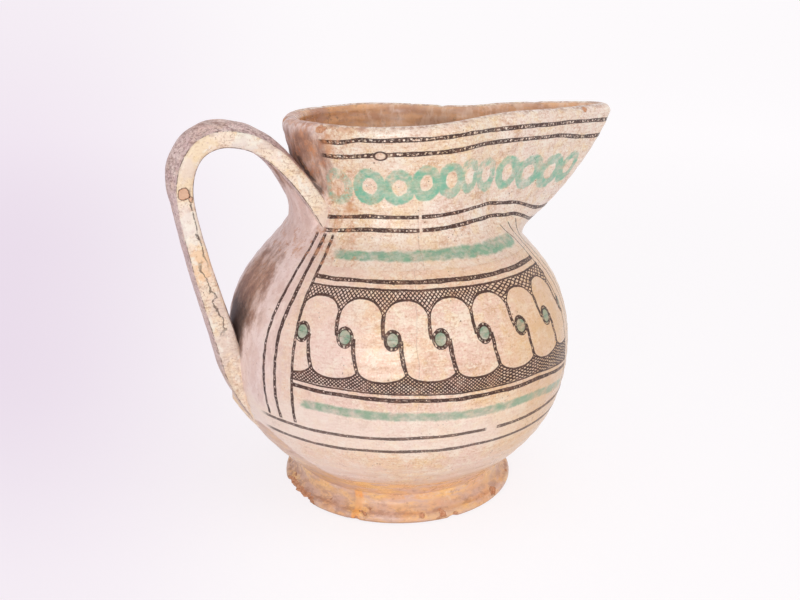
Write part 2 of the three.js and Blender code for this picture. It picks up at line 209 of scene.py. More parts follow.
# Rubbed places on the collar where the clay shows rusty: turn, height and size
RUST_SPOTS = (
    (-147.0, 232.0, 9.0), (-145.0, 224.5, 5.5), (-144.0, 200.0, 6.0), (-137.0, 191.5, 7.5),
    (-158.0, 223.0, 7.0), (-163.0, 234.0, 8.0),
)

# Patches of other colour along the strap's edge: from, to, as shares of its length, and colour
STRAP_PATCHES = (
    (0.24, 0.30, (0.93, 0.88, 0.78, 1.0)), (0.33, 0.47, (0.88, 0.69, 0.46, 1.0)),
    (0.50, 0.57, (0.93, 0.87, 0.78, 1.0)), (0.59, 0.65, (0.90, 0.58, 0.33, 1.0)),
)

# How finely the clay is meshed, and how many mm make the unit of the sizes
TURN_STEPS = 288
BELLY_OUTSIDE_ROWS = 185
BELLY_INSIDE_ROWS = 96
NECK_SECTIONS = 300
SPOUT_SECTIONS = 190
WALL_ROWS = 96
RIM_ROWS = 13
STRAP_SECTIONS = 420
STRAP_END_STEPS = 60
LUTING_RINGS = 59
LUTING_SPOKES = 160
MM = 1000.0


# Shape of the pot

def smoothstep(value, low, high):
    share = np.clip((value - low) / (high - low), 0.0, 1.0)
    return share * share * (3.0 - 2.0 * share)


def bezier(start, first, second, end, steps=1200):
    share = np.linspace(0.0, 1.0, steps)[:, None]
    start, first, second, end = (np.array(point, float) for point in (start, first, second, end))
    rest = 1.0 - share
    return (rest**3 * start + 3 * rest**2 * share * first
            + 3 * rest * share**2 * second + share**3 * end)


OUTLINE = np.concatenate([
    bezier((WAIST_RADIUS, WAIST_HEIGHT),
           (WAIST_RADIUS + BELLY_FLARE, WAIST_HEIGHT + BELLY_FLARE),
           (BELLY_RADIUS, BELLY_WIDEST_HEIGHT - BELLY_LOWER_FULLNESS),
           (BELLY_RADIUS, BELLY_WIDEST_HEIGHT)),
    bezier((BELLY_RADIUS, BELLY_WIDEST_HEIGHT),
           (BELLY_RADIUS, BELLY_WIDEST_HEIGHT + BELLY_UPPER_FULLNESS),
           (NECK_RADIUS, NECK_HEIGHT - NECK_HOLLOW),
           (NECK_RADIUS, NECK_HEIGHT))[1:],
    bezier((NECK_RADIUS, NECK_HEIGHT),
           (NECK_RADIUS, NECK_HEIGHT + (RIM_HEIGHT - NECK_HEIGHT) / 2),
           (RIM_RADIUS, RIM_HEIGHT - (RIM_HEIGHT - NECK_HEIGHT) / 4),
           (RIM_RADIUS, RIM_HEIGHT))[1:],
])


def outer_radius(height):
    return np.interp(height, OUTLINE[:, 1], OUTLINE[:, 0])


KEEL_TOP = RIM_HEIGHT + SPOUT_RISE
KEEL_START = float(outer_radius(SHOULDER_JOINT_HEIGHT))
KEEL = bezier((KEEL_START, SHOULDER_JOINT_HEIGHT),
              (KEEL_START + SPOUT_BREAK_OUT, SHOULDER_JOINT_HEIGHT + SPOUT_BREAK_UP),
              (SPOUT_REACH - SPOUT_TIP_LEAN, KEEL_TOP - SPOUT_TIP_CURL),
              (SPOUT_REACH, KEEL_TOP))


def width_across(wall, slope):
    return np.minimum(wall * np.hypot(1.0, slope), 2.0 * wall)


def inner_radius(height):
    step = 0.0005
    slope = (outer_radius(height + step) - outer_radius(height - step)) / (2 * step)
    return outer_radius(height) - width_across(WALL, slope)


def drop_radius(angle, body, reach):
    """Distance from the axis to a circle drawn out to a rounded point along +X."""
    turn = np.abs(angle)
    tip = reach - SPOUT_TIP_RADIUS
    splay = np.arcsin(np.clip((body - SPOUT_TIP_RADIUS) / tip, 0.0, 1.0))
    tangent = np.arctan2(SPOUT_TIP_RADIUS * np.cos(splay), tip + SPOUT_TIP_RADIUS * np.sin(splay))
    across = tip * np.sin(turn)
    tip_arc = tip * np.cos(turn) + np.sqrt(np.maximum(SPOUT_TIP_RADIUS**2 - across**2, 0.0))
    flank = body / np.sin(np.clip(turn + splay, 0.01, math.pi / 2))
    drawn = np.where(turn < tangent, tip_arc, np.where(turn < math.pi / 2 - splay, flank, body))
    return np.where(reach <= body, body, drawn)


def plan_point(angle, height):
    """Plan outline of the collar and the beak, as x and y."""
    turn = np.arctan2(np.sin(angle), np.cos(angle))
    radius = drop_radius(turn, outer_radius(height), np.interp(height, KEEL[:, 1], KEEL[:, 0]))
    x, y = radius * np.cos(turn), radius * np.sin(turn)
    rise = np.maximum(0.0, height - SHOULDER_JOINT_HEIGHT) / (RIM_HEIGHT - SHOULDER_JOINT_HEIGHT)
    place = np.where(y > 0, LEFT_PINCH_PLACE, RIGHT_PINCH_PLACE)
    depth = np.where(y > 0, LEFT_PINCH_DEPTH, RIGHT_PINCH_DEPTH)
    pinch = depth * rise**PINCH_FADE * np.exp(-(((x - place) / PINCH_SPREAD) ** 2))
    return x, y - pinch * y / (np.abs(y) + WALL)


def plan_normal(angle, height):
    step = 0.01
    ahead, behind = plan_point(angle + step, height), plan_point(angle - step, height)
    x, y = ahead[1] - behind[1], behind[0] - ahead[0]
    length = np.hypot(x, y)
    return x / length, y / length


def rim_height_at(angle):
    x, y = plan_point(angle, RIM_HEIGHT)
    rise = SPOUT_RISE * smoothstep(x, SPOUT_RISE_START, SPOUT_RISE_END)
    askew = np.exp(-(((x - LIP_ASKEW_PLACE) / LIP_ASKEW_SPREAD) ** 2))
    return RIM_HEIGHT + rise - LIP_ASKEW * y / (np.abs(y) + WALL) * askew


def wall_at(angle, height, shoulder_of_rim):
    step = 0.0005
    slope = (np.hypot(*plan_point(angle, height + step))
             - np.hypot(*plan_point(angle, height - step))) / (2 * step)
    thickening = smoothstep(height, NECK_HEIGHT, shoulder_of_rim)
    wall = WALL + (RIM_WIDTH - WALL) * thickening
    return width_across(wall, slope * (1 - thickening))


def ripple(points, size, seed, waves=7):
    """Smooth unevenness from about -1 to 1, with bumps about size across."""
    draw = np.random.default_rng(seed)
    total = np.zeros(points.shape[:-1])
    for _ in range(waves):
        direction = draw.normal(size=3)
        direction *= 2 * math.pi / (size * draw.uniform(0.8, 2.2) * np.linalg.norm(direction))
        total += np.sin(points @ direction + draw.uniform(0, 2 * math.pi))
    return total / math.sqrt(2 * waves)


# Nodes

def operator(operation, swapped=False):
    """A method that adds a Math node; swapped puts the wire after the other value."""
    def operate(self, *others):
        values = (*others, self) if swapped else (self, *others)
        return calc(self.tree, operation, *values)
    return operate


class Wire:
    """A value that runs through a node tree. Arithmetic on it adds Math nodes."""

    __add__ = __radd__ = operator("ADD")
    __sub__ = operator("SUBTRACT")
    __rsub__ = operator("SUBTRACT", swapped=True)
    __mul__ = operator("MULTIPLY")
    __truediv__ = operator("DIVIDE")
    __rtruediv__ = operator("DIVIDE", swapped=True)
    __pow__ = operator("POWER")
    __abs__ = operator("ABSOLUTE")
    sin = operator("SINE")
    cos = operator("COSINE")
    sign = operator("SIGN")
    floor = operator("FLOOR")
    fraction = operator("FRACT")
    modulo = operator("MODULO")
    wrap = operator("WRAP")
    least = operator("MINIMUM")
    most = operator("MAXIMUM")

    def __init__(self, socket):
        self.socket = socket
        self.tree = socket.id_data

    def step(self, low, high):
        """0 below low and 1 above high, or the other way round where low is the larger."""
        return add(self.tree, "ShaderNodeMapRange", {"Value": self, "From Min": low, "From Max": high},
                   "Result", interpolation_type="SMOOTHSTEP")

    def between(self, start, full, full_end, end):
        """1 from full to full_end, fading out to 0 at start and at end."""
        return self.step(start, full) * self.step(end, full_end)


def put(socket, value):
    if isinstance(value, Wire):
        socket.id_data.links.new(value.socket, socket)
    else:
        socket.default_value = value


def add(tree, kind, values=(), output=0, **settings):
    """Adds a node with its settings and its inputs, and returns one of its outputs."""
    node = tree.nodes.new(kind)
    for key, value in settings.items():
        setattr(node, key, value)
    for key, value in dict(values).items():
        put(node.inputs[key], value)
    return Wire(node.outputs[output])


def calc(tree, operation, *values):
    return add(tree, "ShaderNodeMath", enumerate(values), operation=operation)


def vector_calc(operation, *values, output="Vector"):
    return add(values[0].tree, "ShaderNodeVectorMath", enumerate(values), output, operation=operation)


def scaled(point, factor):
    values = {"Vector": point, "Scale": factor}
    return add(point.tree, "ShaderNodeVectorMath", values, operation="SCALE")


def split(point):
    first = add(point.tree, "ShaderNodeSeparateXYZ", {0: point})
    return [Wire(socket) for socket in first.socket.node.outputs]


def joined(x, y, z):
    return add(x.tree, "ShaderNodeCombineXYZ", {"X": x, "Y": y, "Z": z})


def arc_tangent(y, x):
    return calc(x.tree, "ARCTAN2", y, x)


def root(square):
    return calc(square.tree, "SQRT", square)


def cloud(point, size, seed, detail=2.0, roughness=0.5, stretch=None):
    """Noise from 0 to 1 with blotches about size across, in the unit of point."""
    if stretch:
        point = vector_calc("MULTIPLY", point, stretch)
    point = vector_calc("ADD", point, (seed * 37.1, seed * 17.3, seed * 29.7))
    values = {"Vector": point, "Scale": 1.0 / size, "Detail": detail, "Roughness": roughness}
    return add(point.tree, "ShaderNodeTexNoise", values)


def cells(point, size, seed, feature="F1"):
    """Distance to the nearest of points scattered about size apart, as a share of size."""
    point = vector_calc("ADD", point, (seed * 23.9, seed * 41.3, seed * 11.7))
    values = {"Vector": point, "Scale": 1.0 / size}
    return add(point.tree, "ShaderNodeTexVoronoi", values, "Distance", feature=feature)


# The sockets of a Mix node go by number: the factor, then a pair for each kind of value

def blend(factor, first, second):
    """Colour from first to second as factor goes from 0 to 1."""
    return add(factor.tree, "ShaderNodeMix", {0: factor, 6: first, 7: second}, 2, data_type="RGBA")


def mixed(factor, first, second):
    """Number from first to second as factor goes from 0 to 1."""
    return add(factor.tree, "ShaderNodeMix", {0: factor, 2: first, 3: second}, data_type="FLOAT")


def strongest(masks):
    """The largest of several masks at each place."""
    return functools.reduce(Wire.most, masks)


def roughened(mask, noise, reach, low, high):
    """Gives a soft mask a ragged edge, and leaves it empty where it is empty."""
    return (mask + noise * mask.step(0.0, reach)).step(low, high)


def tinted(color, layers):
    """Lays tones over a colour, each by its amount where its noise is past low towards high."""
    for noise, low, high, amount, tone in layers:
        color = blend(noise.step(low, high) * amount, color, tone)
    return color


def rgb(red, green, blue):
    """A colour given as seen on a screen, 0 to 255."""
    def linear(part):
        part /= 255.0
        return part / 12.92 if part <= 0.04045 else ((part + 0.055) / 1.055) ** 2.4
    return (linear(red), linear(green), linear(blue), 1.0)


SHAPE, FINISH = "NodeSocketGeometry", "NodeSocketMaterial"
NOWHERE = (0.0, 0.0, 0.0)


def label(name):
    """The name of an argument's socket: ring_depth becomes Ring Depth."""
    return name.replace("_", " ").title()


def socket_kind(value):
    """The kind of socket for a value or a wire; shapes and finishes are named by their kind."""
    if isinstance(value, Wire):
        return {"VALUE": "NodeSocketFloat", "RGBA": "NodeSocketColor", "GEOMETRY": SHAPE}[value.socket.type]
    if isinstance(value, tuple):
        return "NodeSocketColor" if len(value) == 4 else "NodeSocketVector"
    if isinstance(value, str):
        return value
    return "NodeSocketInt" if isinstance(value, int) else "NodeSocketFloat"


def node_group(kind, build, **inputs):
    """A node group with named sockets. build gets the inputs and returns the outputs."""
    tree = bpy.data.node_groups.new(build.__name__, kind)
    for name, value in inputs.items():
        socket = tree.interface.new_socket(label(name), in_out="INPUT", socket_type=socket_kind(value))
        if not isinstance(value, str):
            socket.default_value = value
    start = tree.nodes.new("NodeGroupInput")
    outputs = build(**{name: Wire(start.outputs[label(name)]) for name in inputs})
    for name, value in outputs.items():
        tree.interface.new_socket(name, in_out="OUTPUT", socket_type=socket_kind(value))
    end = tree.nodes.new("NodeGroupOutput")
    for name, value in outputs.items():
        put(end.inputs[name], value)
    return tree


def shader_group(build):
    """Turns a function into a shader node group, whose inputs are its arguments."""
    given = inspect.signature(build).parameters
    return node_group("ShaderNodeTree", build, **{name: given[name].default for name in given})


def use(tree, group, **values):
    """Places a group in a tree and returns its outputs by name."""
    kind = "GeometryNodeGroup" if group.bl_idname == "GeometryNodeTree" else "ShaderNodeGroup"
    values = {label(name): value for name, value in values.items()}
    first = add(tree, kind, values, node_tree=group)
    return {socket.name: Wire(socket) for socket in first.socket.node.outputs}


# Shapes that follow a rule, as Geometry Nodes

def hand_marks(geometry, outward, ring_depth, ring_pitch, wobble, wobble_size):
    """Finger rings and slow unevenness, always inwards, and none where the pot stands."""
    tree = geometry.tree
    position = add(tree, "GeometryNodeInputPosition")
    x, y, z = split(position)
    sway = cloud(position, 0.03, 1.0)
    rings = (z / ring_pitch * (2 * math.pi) + arc_tangent(y, x) + sway * 5.0).sin()
    slow = cloud(position, wobble_size, 2.0, detail=3.0)
    strength = cloud(position, 0.05, 3.0)
    inward = (rings * 0.5 + 0.5) * ring_depth * strength + slow * wobble
    off_the_table = z.step(0.0008, 0.004)
    off_the_joint = abs(z - WAIST_HEIGHT - 0.0025).step(0.002, 0.006)
    offset = scaled(outward, inward * off_the_table * off_the_joint * -1.0)
    return {"Geometry": add(tree, "GeometryNodeSetPosition", {"Geometry": geometry, "Offset": offset})}


HAND_INPUTS = {"ring_depth": 0.0003, "ring_pitch": 0.007, "wobble": 0.0005, "wobble_size": 0.03}
HAND_MARKS = node_group("GeometryNodeTree", hand_marks, geometry=SHAPE, outward=NOWHERE, **HAND_INPUTS)


def finished(geometry, outward, clay, hand):
    """Last nodes of every tree: hand marks on real, smooth geometry with its material."""
    tree = geometry.tree
    marked = use(tree, HAND_MARKS, geometry=geometry, outward=outward, **hand)["Geometry"]
    real = add(tree, "GeometryNodeRealizeInstances", {"Geometry": marked})
    smooth = add(tree, "GeometryNodeSetShadeSmooth", {"Geometry": real})
    return {"Geometry": add(tree, "GeometryNodeSetMaterial", {"Geometry": smooth, "Material": clay})}


def turned_on_the_wheel(geometry, turn_steps, clay, **hand):
    """Turns an upright profile, radius along X and height along Z, once round the axis."""
    tree = geometry.tree
    position = add(tree, "GeometryNodeInputPosition")
    index = add(tree, "GeometryNodeInputIndex")
    count = add(tree, "GeometryNodeAttributeDomainSize", {"Geometry": geometry}, "Point Count",
                component="MESH")
    profile = {"Geometry": geometry, "Value": position, "Index": index.modulo(count)}
    radius, _, height = split(add(tree, "GeometryNodeSampleIndex", profile, "Value",
                                  data_type="FLOAT_VECTOR", domain="POINT"))
    turn = (index / count).floor() / turn_steps * (2 * math.pi) + math.pi
    grid = add(tree, "GeometryNodeMeshGrid", {"Vertices X": turn_steps + 1.0, "Vertices Y": count}, "Mesh")
    placed = add(tree, "GeometryNodeSetPosition", {
        "Geometry": grid, "Position": joined(radius * turn.cos(), radius * turn.sin(), height)})
    uv = add(tree, "GeometryNodeStoreNamedAttribute", {
        "Geometry": placed, "Name": "UVMap", "Value": Wire(grid.socket.node.outputs["UV Map"]),
    }, data_type="FLOAT2", domain="CORNER")
    closed = add(tree, "GeometryNodeMergeByDistance", {"Geometry": uv, "Distance": 0.000002})
    x, y, _ = split(position)
    return finished(closed, vector_calc("NORMALIZE", joined(x, y, 0.0)), clay, hand)


def drawn_out_by_hand(geometry, clay, **hand):
    """Hand marks on a wall that is no longer round; its own attribute says which way is out."""
    outward = add(geometry.tree, "GeometryNodeInputNamedAttribute", {"Name": "outward"},
                  data_type="FLOAT_VECTOR")
    return finished(geometry, outward, clay, hand)


TURNED = node_group("GeometryNodeTree", turned_on_the_wheel,
                    geometry=SHAPE, turn_steps=96, clay=FINISH, **HAND_INPUTS)
DRAWN_OUT = node_group("GeometryNodeTree", drawn_out_by_hand, geometry=SHAPE, clay=FINISH, **HAND_INPUTS)


def shaped_by(obj, group, **values):
    """Runs a tree on an object and keeps the result as its plain mesh."""
    modifier = obj.modifiers.new(group.name, "NODES")
    modifier.node_group = group
    named = {item.name: item.identifier for item in group.interface.items_tree
             if item.in_out == "INPUT"}
    for name, value in values.items():
        modifier[named[label(name)]] = value
    old = obj.data
    evaluated = obj.evaluated_get(bpy.context.evaluated_depsgraph_get())
    mesh = bpy.data.meshes.new_from_object(evaluated)
    obj.modifiers.remove(modifier)
    obj.data = mesh
    bpy.data.meshes.remove(old)
    mesh.name = obj.name
    return obj


# Meshes

def new_piece(name, vertices, edges, faces):
    mesh = bpy.data.meshes.new(name)
    mesh.from_pydata(vertices, edges, faces, shade_flat=False)
    obj = bpy.data.objects.new(name, mesh)
    bpy.context.scene.collection.objects.link(obj)
    return obj


def points_of(obj):
    flat = np.empty(len(obj.data.vertices) * 3)
    obj.data.vertices.foreach_get("co", flat)
    return flat.reshape(-1, 3)


def complete(obj, points, hard_angle=48, **marks):
    """Moves the points to their last places and stores a number on each for the materials."""
    obj.data.vertices.foreach_set("co", points.ravel())
    obj.data.update()
    for name, values in marks.items():
        attribute = obj.data.attributes.new(name, "FLOAT", "POINT")
        attribute.data.foreach_set("value", np.asarray(values, dtype=np.float32).ravel())
    obj.data.set_sharp_from_angle(angle=math.radians(hard_angle))
    return obj


def tube_faces(rows, columns):
    """Faces between rows of points, where each row closes on itself."""
    i, j = np.meshgrid(np.arange(rows - 1), np.arange(columns), indexing="ij")
    i, j = i.ravel(), j.ravel()
    here, after, beside = i * columns, (i + 1) * columns, (j + 1) % columns
    return np.stack([here + j, after + j, after + beside, here + beside], axis=1)


def face_outwards(obj):
    """Cuts the end faces into triangles and turns all faces outwards."""
    work = bmesh.new()
    work.from_mesh(obj.data)
    bmesh.ops.triangulate(work, faces=[face for face in work.faces if len(face.verts) > 4])
    bmesh.ops.recalc_face_normals(work, faces=work.faces)
    work.to_mesh(obj.data)
    work.free()
    return obj


def lofted(name, sections):
    """A closed skin through closed sections, with an end face on the first and the last."""
    rows, columns, _ = sections.shape
    first = list(range(columns))
    last = [(rows - 1) * columns + j for j in first]
    faces = tube_faces(rows, columns).tolist() + [first[::-1], last]
    return face_outwards(new_piece(name, sections.reshape(-1, 3), [], faces))


def turned_piece(name, profile, **values):
    vertices = [(radius, 0.0, height) for radius, height in profile]
    edges = [(i, i + 1) for i in range(len(vertices) - 1)]
    return shaped_by(new_piece(name, vertices, edges, []), TURNED, **values)


def from_axis(points):
    """Each point's distance from the axis and its direction away from it."""
    radius = np.hypot(points[:, 0], points[:, 1])
    return radius, points * (1, 1, 0) / np.maximum(radius, 0.001)[:, None]


def unit(points):
    """The points' directions, all of length 1."""
    return points / np.linalg.norm(points, axis=1)[:, None]


def knock_off(points, bare, away, width, depth, inward, core, bare_from, bare_to):
    """Chips the clay inwards within width of a place and returns the bare clay so far."""
    hit = smoothstep(-away, -width, -width * core)
    points += inward * (hit * depth)[:, None]
    return np.maximum(bare, smoothstep(hit, bare_from, bare_to))


# Turned pieces

THROWN = {"ring_depth": 0.0005, "ring_pitch": 0.0075, "wobble": 0.0011, "wobble_size": 0.034}


def make_belly(material):
    bottom = FOOT_SEAT_THICKNESS
    floor_top = bottom + FLOOR
    corner_height = floor_top + WALL / 2
    corner = float(inner_radius(corner_height))
    outside = np.linspace(WAIST_HEIGHT, SHOULDER_JOINT_HEIGHT, BELLY_OUTSIDE_ROWS)
    inside = np.linspace(SHOULDER_JOINT_HEIGHT, corner_height, BELLY_INSIDE_ROWS)
    profile = [(0.0, bottom), (FOOT_SEAT_RADIUS / 2, bottom), (FOOT_SEAT_RADIUS - 0.0006, bottom)]
    profile += list(zip(outer_radius(outside), outside))
    profile += list(zip(inner_radius(inside), inside))
    profile += [(corner - WALL * 0.4, floor_top + WALL * 0.16), (corner - WALL, floor_top)]
    profile += [(radius, floor_top) for radius in np.linspace(corner - 2 * WALL, 0.0, 12)]
    belly = turned_piece("belly_glazed", profile, turn_steps=TURN_STEPS, clay=material, **THROWN)
    points = points_of(belly)
    radius, outward = from_axis(points)
    inside = (radius < outer_radius(points[:, 2]) - WALL * 0.6) & (points[:, 2] > floor_top - 0.001)
    edge = slip_edge(points)
    slip = smoothstep(points[:, 2], edge - 0.0006, edge + 0.0006) * ~inside
    points -= outward * ((1 - slip) * SLIP_THICKNESS * ~inside)[:, None]
    return complete(belly, points, inside=inside, slip=slip)


def slip_edge(points):
    """Height at which the white slip ends: wavy, and higher beside the handle."""
    turn = np.degrees(np.abs(np.arctan2(points[:, 1], points[:, 0])))
    flat = points * (1, 1, 0)
    wave = 0.0016 * ripple(flat, 0.030, 11) + 0.0008 * ripple(flat, 0.009, 12)
    return SLIP_EDGE + SLIP_EDGE_RISE * smoothstep(turn, 134, 164) + wave


def make_foot(material):
    lip = FOOT_LIP_HEIGHT / 2
    base = np.concatenate([np.linspace(0.0, 0.060, 9), np.linspace(0.0605, FOOT_RADIUS - lip, 22)])
    bend = np.radians(np.linspace(-84, 84, 15))
    share = np.linspace(0.0, 1.0, 18)[1:, None]
    slope = ((1 - share) ** 2 * (FOOT_RADIUS - lip, FOOT_LIP_HEIGHT)
             + 2 * share * (1 - share) * FOOT_SLOPE + share**2 * FOOT_SMEAR_TOP)
    profile = [(radius, 0.0) for radius in base]
    profile += [(FOOT_RADIUS - lip + lip * math.cos(a), lip + lip * math.sin(a)) for a in bend]
    profile += slope.tolist()
    profile += [(radius, FOOT_SEAT_THICKNESS) for radius in (FOOT_SEAT_RADIUS, 0.025, 0.0)]
    foot = turned_piece("foot_glazed", profile, turn_steps=2 * TURN_STEPS, clay=material,
                        ring_depth=0.0003, ring_pitch=0.004, wobble=0.0010, wobble_size=0.022)
    points = points_of(foot)
    radius, outward = from_axis(points)
    lip_part = smoothstep(radius, 0.0685, 0.0735) * smoothstep(-points[:, 2], -0.012, -0.006)
    ragged = 0.0006 * ripple(points, 0.006, 21) + 0.0004 * ripple(points, 0.0025, 22)
    broken = np.clip(points @ FOOT_BREAK - FOOT_BREAK_REACH + ragged * 1.6, 0.0, None)
    nibble = np.clip(0.5 * ripple(points, 0.013, 23) + 0.5 * ripple(points, 0.005, 24) - 0.42, 0, 1)
    worn = 0.0030 * nibble * lip_part
    points -= FOOT_BREAK * broken[:, None] + outward * worn[:, None]
    bare = np.maximum(smoothstep(broken, 0.0002, 0.0009), smoothstep(worn, 0.0002, 0.0008))
    for degrees, width, depth in FOOT_CHIPS:
        angle = math.radians(degrees)
        place = np.array([math.cos(angle) * FOOT_CHIP_RADIUS, math.sin(angle) * FOOT_CHIP_RADIUS,
                          FOOT_CHIP_HEIGHT])
        away = np.linalg.norm((points - place) * (1, 1, 1.3), axis=1)
        away += 0.0006 * ripple(points, 0.004, 25)
        bare = knock_off(points, bare, away, width, depth, -outward,
                         core=0.35, bare_from=0.15, bare_to=0.45)
    drip, thick = glaze_drip(points)
    points += outward * (thick * 0.0009)[:, None] * (radius < FOOT_RADIUS - 0.0012)[:, None]
    under = smoothstep(-points[:, 2], -0.0006, -0.0002)
    return complete(foot, points, bare=bare, drip=drip, under=under)


def glaze_drip(points):
    """The orange run of glaze down the foot, as a mask and its thickness."""
    turn = np.degrees(np.arctan2(points[:, 1], points[:, 0]))
    away = np.abs(turn - DRIP_TURN + 0.7 * ripple(points, 0.008, 31)) * 0.00126
    mask = smoothstep(-away, -DRIP_HALF_WIDTH, -0.0018)
    crown = np.sqrt(np.clip(1 - (away / DRIP_HALF_WIDTH) ** 2, 0, 1))
    return mask, crown * smoothstep(points[:, 2], 0.0005, 0.004)


# Collar and beak

def wall_sections(angles):
    """Upright sections through the wall: up the outside, over the rim and down the inside."""
    half_rim = RIM_WIDTH / 2
    crest = rim_height_at(angles)[:, None]
    shoulder = crest - half_rim
    shares = np.linspace(0.0, 1.0, WALL_ROWS) ** 1.15
    up = SHOULDER_JOINT_HEIGHT + (shoulder - SHOULDER_JOINT_HEIGHT) * shares
    down = up[:, ::-1]
    turns = np.radians(np.linspace(0, 180, RIM_ROWS + 2)[1:-1])
    over = shoulder + (half_rim - rim_wear(angles)[:, None]) * np.sin(turns)
    angle = angles[:, None]
    inward = np.concatenate([np.zeros_like(up), np.broadcast_to(half_rim * (1 - np.cos(turns)), over.shape),
                             wall_at(angle, down, shoulder)], axis=1)
    height = np.concatenate([up, over, down], axis=1)
    level = np.minimum(height, shoulder)
    x, y = plan_point(angle, level)
    normal_x, normal_y = plan_normal(angle, level)
    sections = np.stack([x - inward * normal_x, y - inward * normal_y, height], axis=2)
    outward = np.stack([normal_x, normal_y, np.zeros_like(x)], axis=2)
    inside = np.zeros_like(height)
    inside[:, WALL_ROWS + RIM_ROWS - 4:] = 1.0
    return sections, outward, crest - height, inside


def rim_wear(angles):
    around = np.stack([np.cos(angles), np.sin(angles), 0 * angles], axis=-1) * RIM_RADIUS
    slow = 0.00035 * (1 + ripple(around, 0.03, 41))
    nicks = 0.0011 * np.clip(ripple(around, 0.006, 42) - 0.75, 0, 1)
    return slow + nicks


def run_along(angles):
    """Length along the outline at the ring chain, in mm, from the spout's keel."""
    fine = np.linspace(0, math.pi, 2400)
    x, y = plan_point(fine, np.full_like(fine, RING_LINE / MM))
    length = np.concatenate([[0.0], np.cumsum(np.hypot(np.diff(x), np.diff(y)))]) * MM
    turn = np.arctan2(np.sin(angles), np.cos(angles))
    return np.interp(np.abs(turn), fine, length)


def make_wall_piece(name, angles, material):
    sections, outward, drop, inside = wall_sections(angles)
    piece = lofted(name, sections)
    vectors = piece.data.attributes.new("outward", "FLOAT_VECTOR", "POINT")
    vectors.data.foreach_set("vector", outward.astype(np.float32).ravel())
    shaped_by(piece, DRAWN_OUT, clay=material, **THROWN)
    points = points_of(piece)
    bare = np.zeros(len(points))
    for degrees, fall, width, depth in RIM_CHIPS:
        angle = math.radians(degrees)
        place = np.array([*plan_point(angle, RIM_HEIGHT), rim_height_at(angle) - fall / MM])
        away = np.linalg.norm(points - place, axis=1) + 0.0009 * ripple(points, 0.004, 51)
        bare = knock_off(points, bare, away, width, depth, np.array([0.0, 0.0, -1.0]),
                         core=0.3, bare_from=0.2, bare_to=0.5)
    run = np.repeat(run_along(angles)[:, None], drop.shape[1], axis=1)
    return complete(piece, points, drop=drop * MM, inside=inside, run=run, bare=bare)


def make_neck(material):
    angles = np.linspace(SPOUT_JOINT_ANGLE, 2 * math.pi - SPOUT_JOINT_ANGLE, NECK_SECTIONS)
    return make_wall_piece("neck_glazed", angles, material)


def make_spout(material):
    share = np.linspace(-1.0, 1.0, SPOUT_SECTIONS)
    angles = SPOUT_JOINT_ANGLE * np.sign(share) * np.abs(share) ** 1.5
    return make_wall_piece("spout_glazed", angles, material)


# Handle

def strap_path(count):
    """Centre line of the strap in the XZ plane, evenly spaced."""
    start = np.array([-(float(outer_radius(STRAP_ROOT_HEIGHT)) - WALL), STRAP_ROOT_HEIGHT])
    swing = np.array([-STRAP_ROOT_SWING[0], STRAP_ROOT_SWING[1]])
    sunk = start - swing / np.hypot(*swing) * STRAP_ROOT_SINK
    top = (-STRAP_TOP_REACH, STRAP_TOP_HEIGHT)
    bend = (-STRAP_BEND_REACH, STRAP_BEND_HEIGHT)
    laid = np.linspace(STRAP_LAY_HEIGHT, STRAP_TAIL_HEIGHT, STRAP_END_STEPS)
    standoff = np.linspace(STRAP_LAY_STANDOFF, -STRAP_TAIL_SINK, STRAP_END_STEPS)
    tail = np.stack([-outer_radius(laid) - standoff, laid], axis=1)
    lay = tail[0]
    landing = (lay[0] - STRAP_LAY_SWING[0], lay[1] + STRAP_LAY_SWING[1])
    path = np.concatenate([
        np.linspace(sunk, start, STRAP_END_STEPS)[:-1],
        bezier(start, start + swing, (top[0] + STRAP_TOP_SWING_IN, top[1]), top),
        bezier(top, (top[0] - STRAP_TOP_SWING_OUT, top[1]),
               (bend[0], bend[1] + STRAP_BEND_SWING_UP), bend)[1:],
        bezier(bend, (bend[0], bend[1] - STRAP_BEND_SWING_DOWN), landing, lay)[1:],
        tail[1:],
    ])
    length = np.concatenate([[0.0], np.cumsum(np.hypot(*np.diff(path, axis=0).T))])
    even = np.linspace(0, length[-1], count)
    return np.stack([np.interp(even, length, part) for part in path.T], axis=1)


def strap_outline():
    """Cross-section as shares across and out, and the shift and lift of its round corners."""
    turns = np.radians(np.linspace(0, 90, 6))[1:-1]
    half = [(across, -1.0, 0.0, 0.0) for across in np.linspace(-1, 1, 18)]
    half += [(1.0, -1.0, math.sin(t), 1 - math.cos(t)) for t in turns]
    half += [(1.0, level, 1.0, 0.0) for level in np.linspace(-0.5, 0.5, 6)]
    half += [(1.0, 1.0, math.cos(t), math.sin(t) - 1) for t in turns]
    half = np.array(half) * (1.0, 1.0, STRAP_CORNER, STRAP_CORNER)
    return np.concatenate([half, -half])


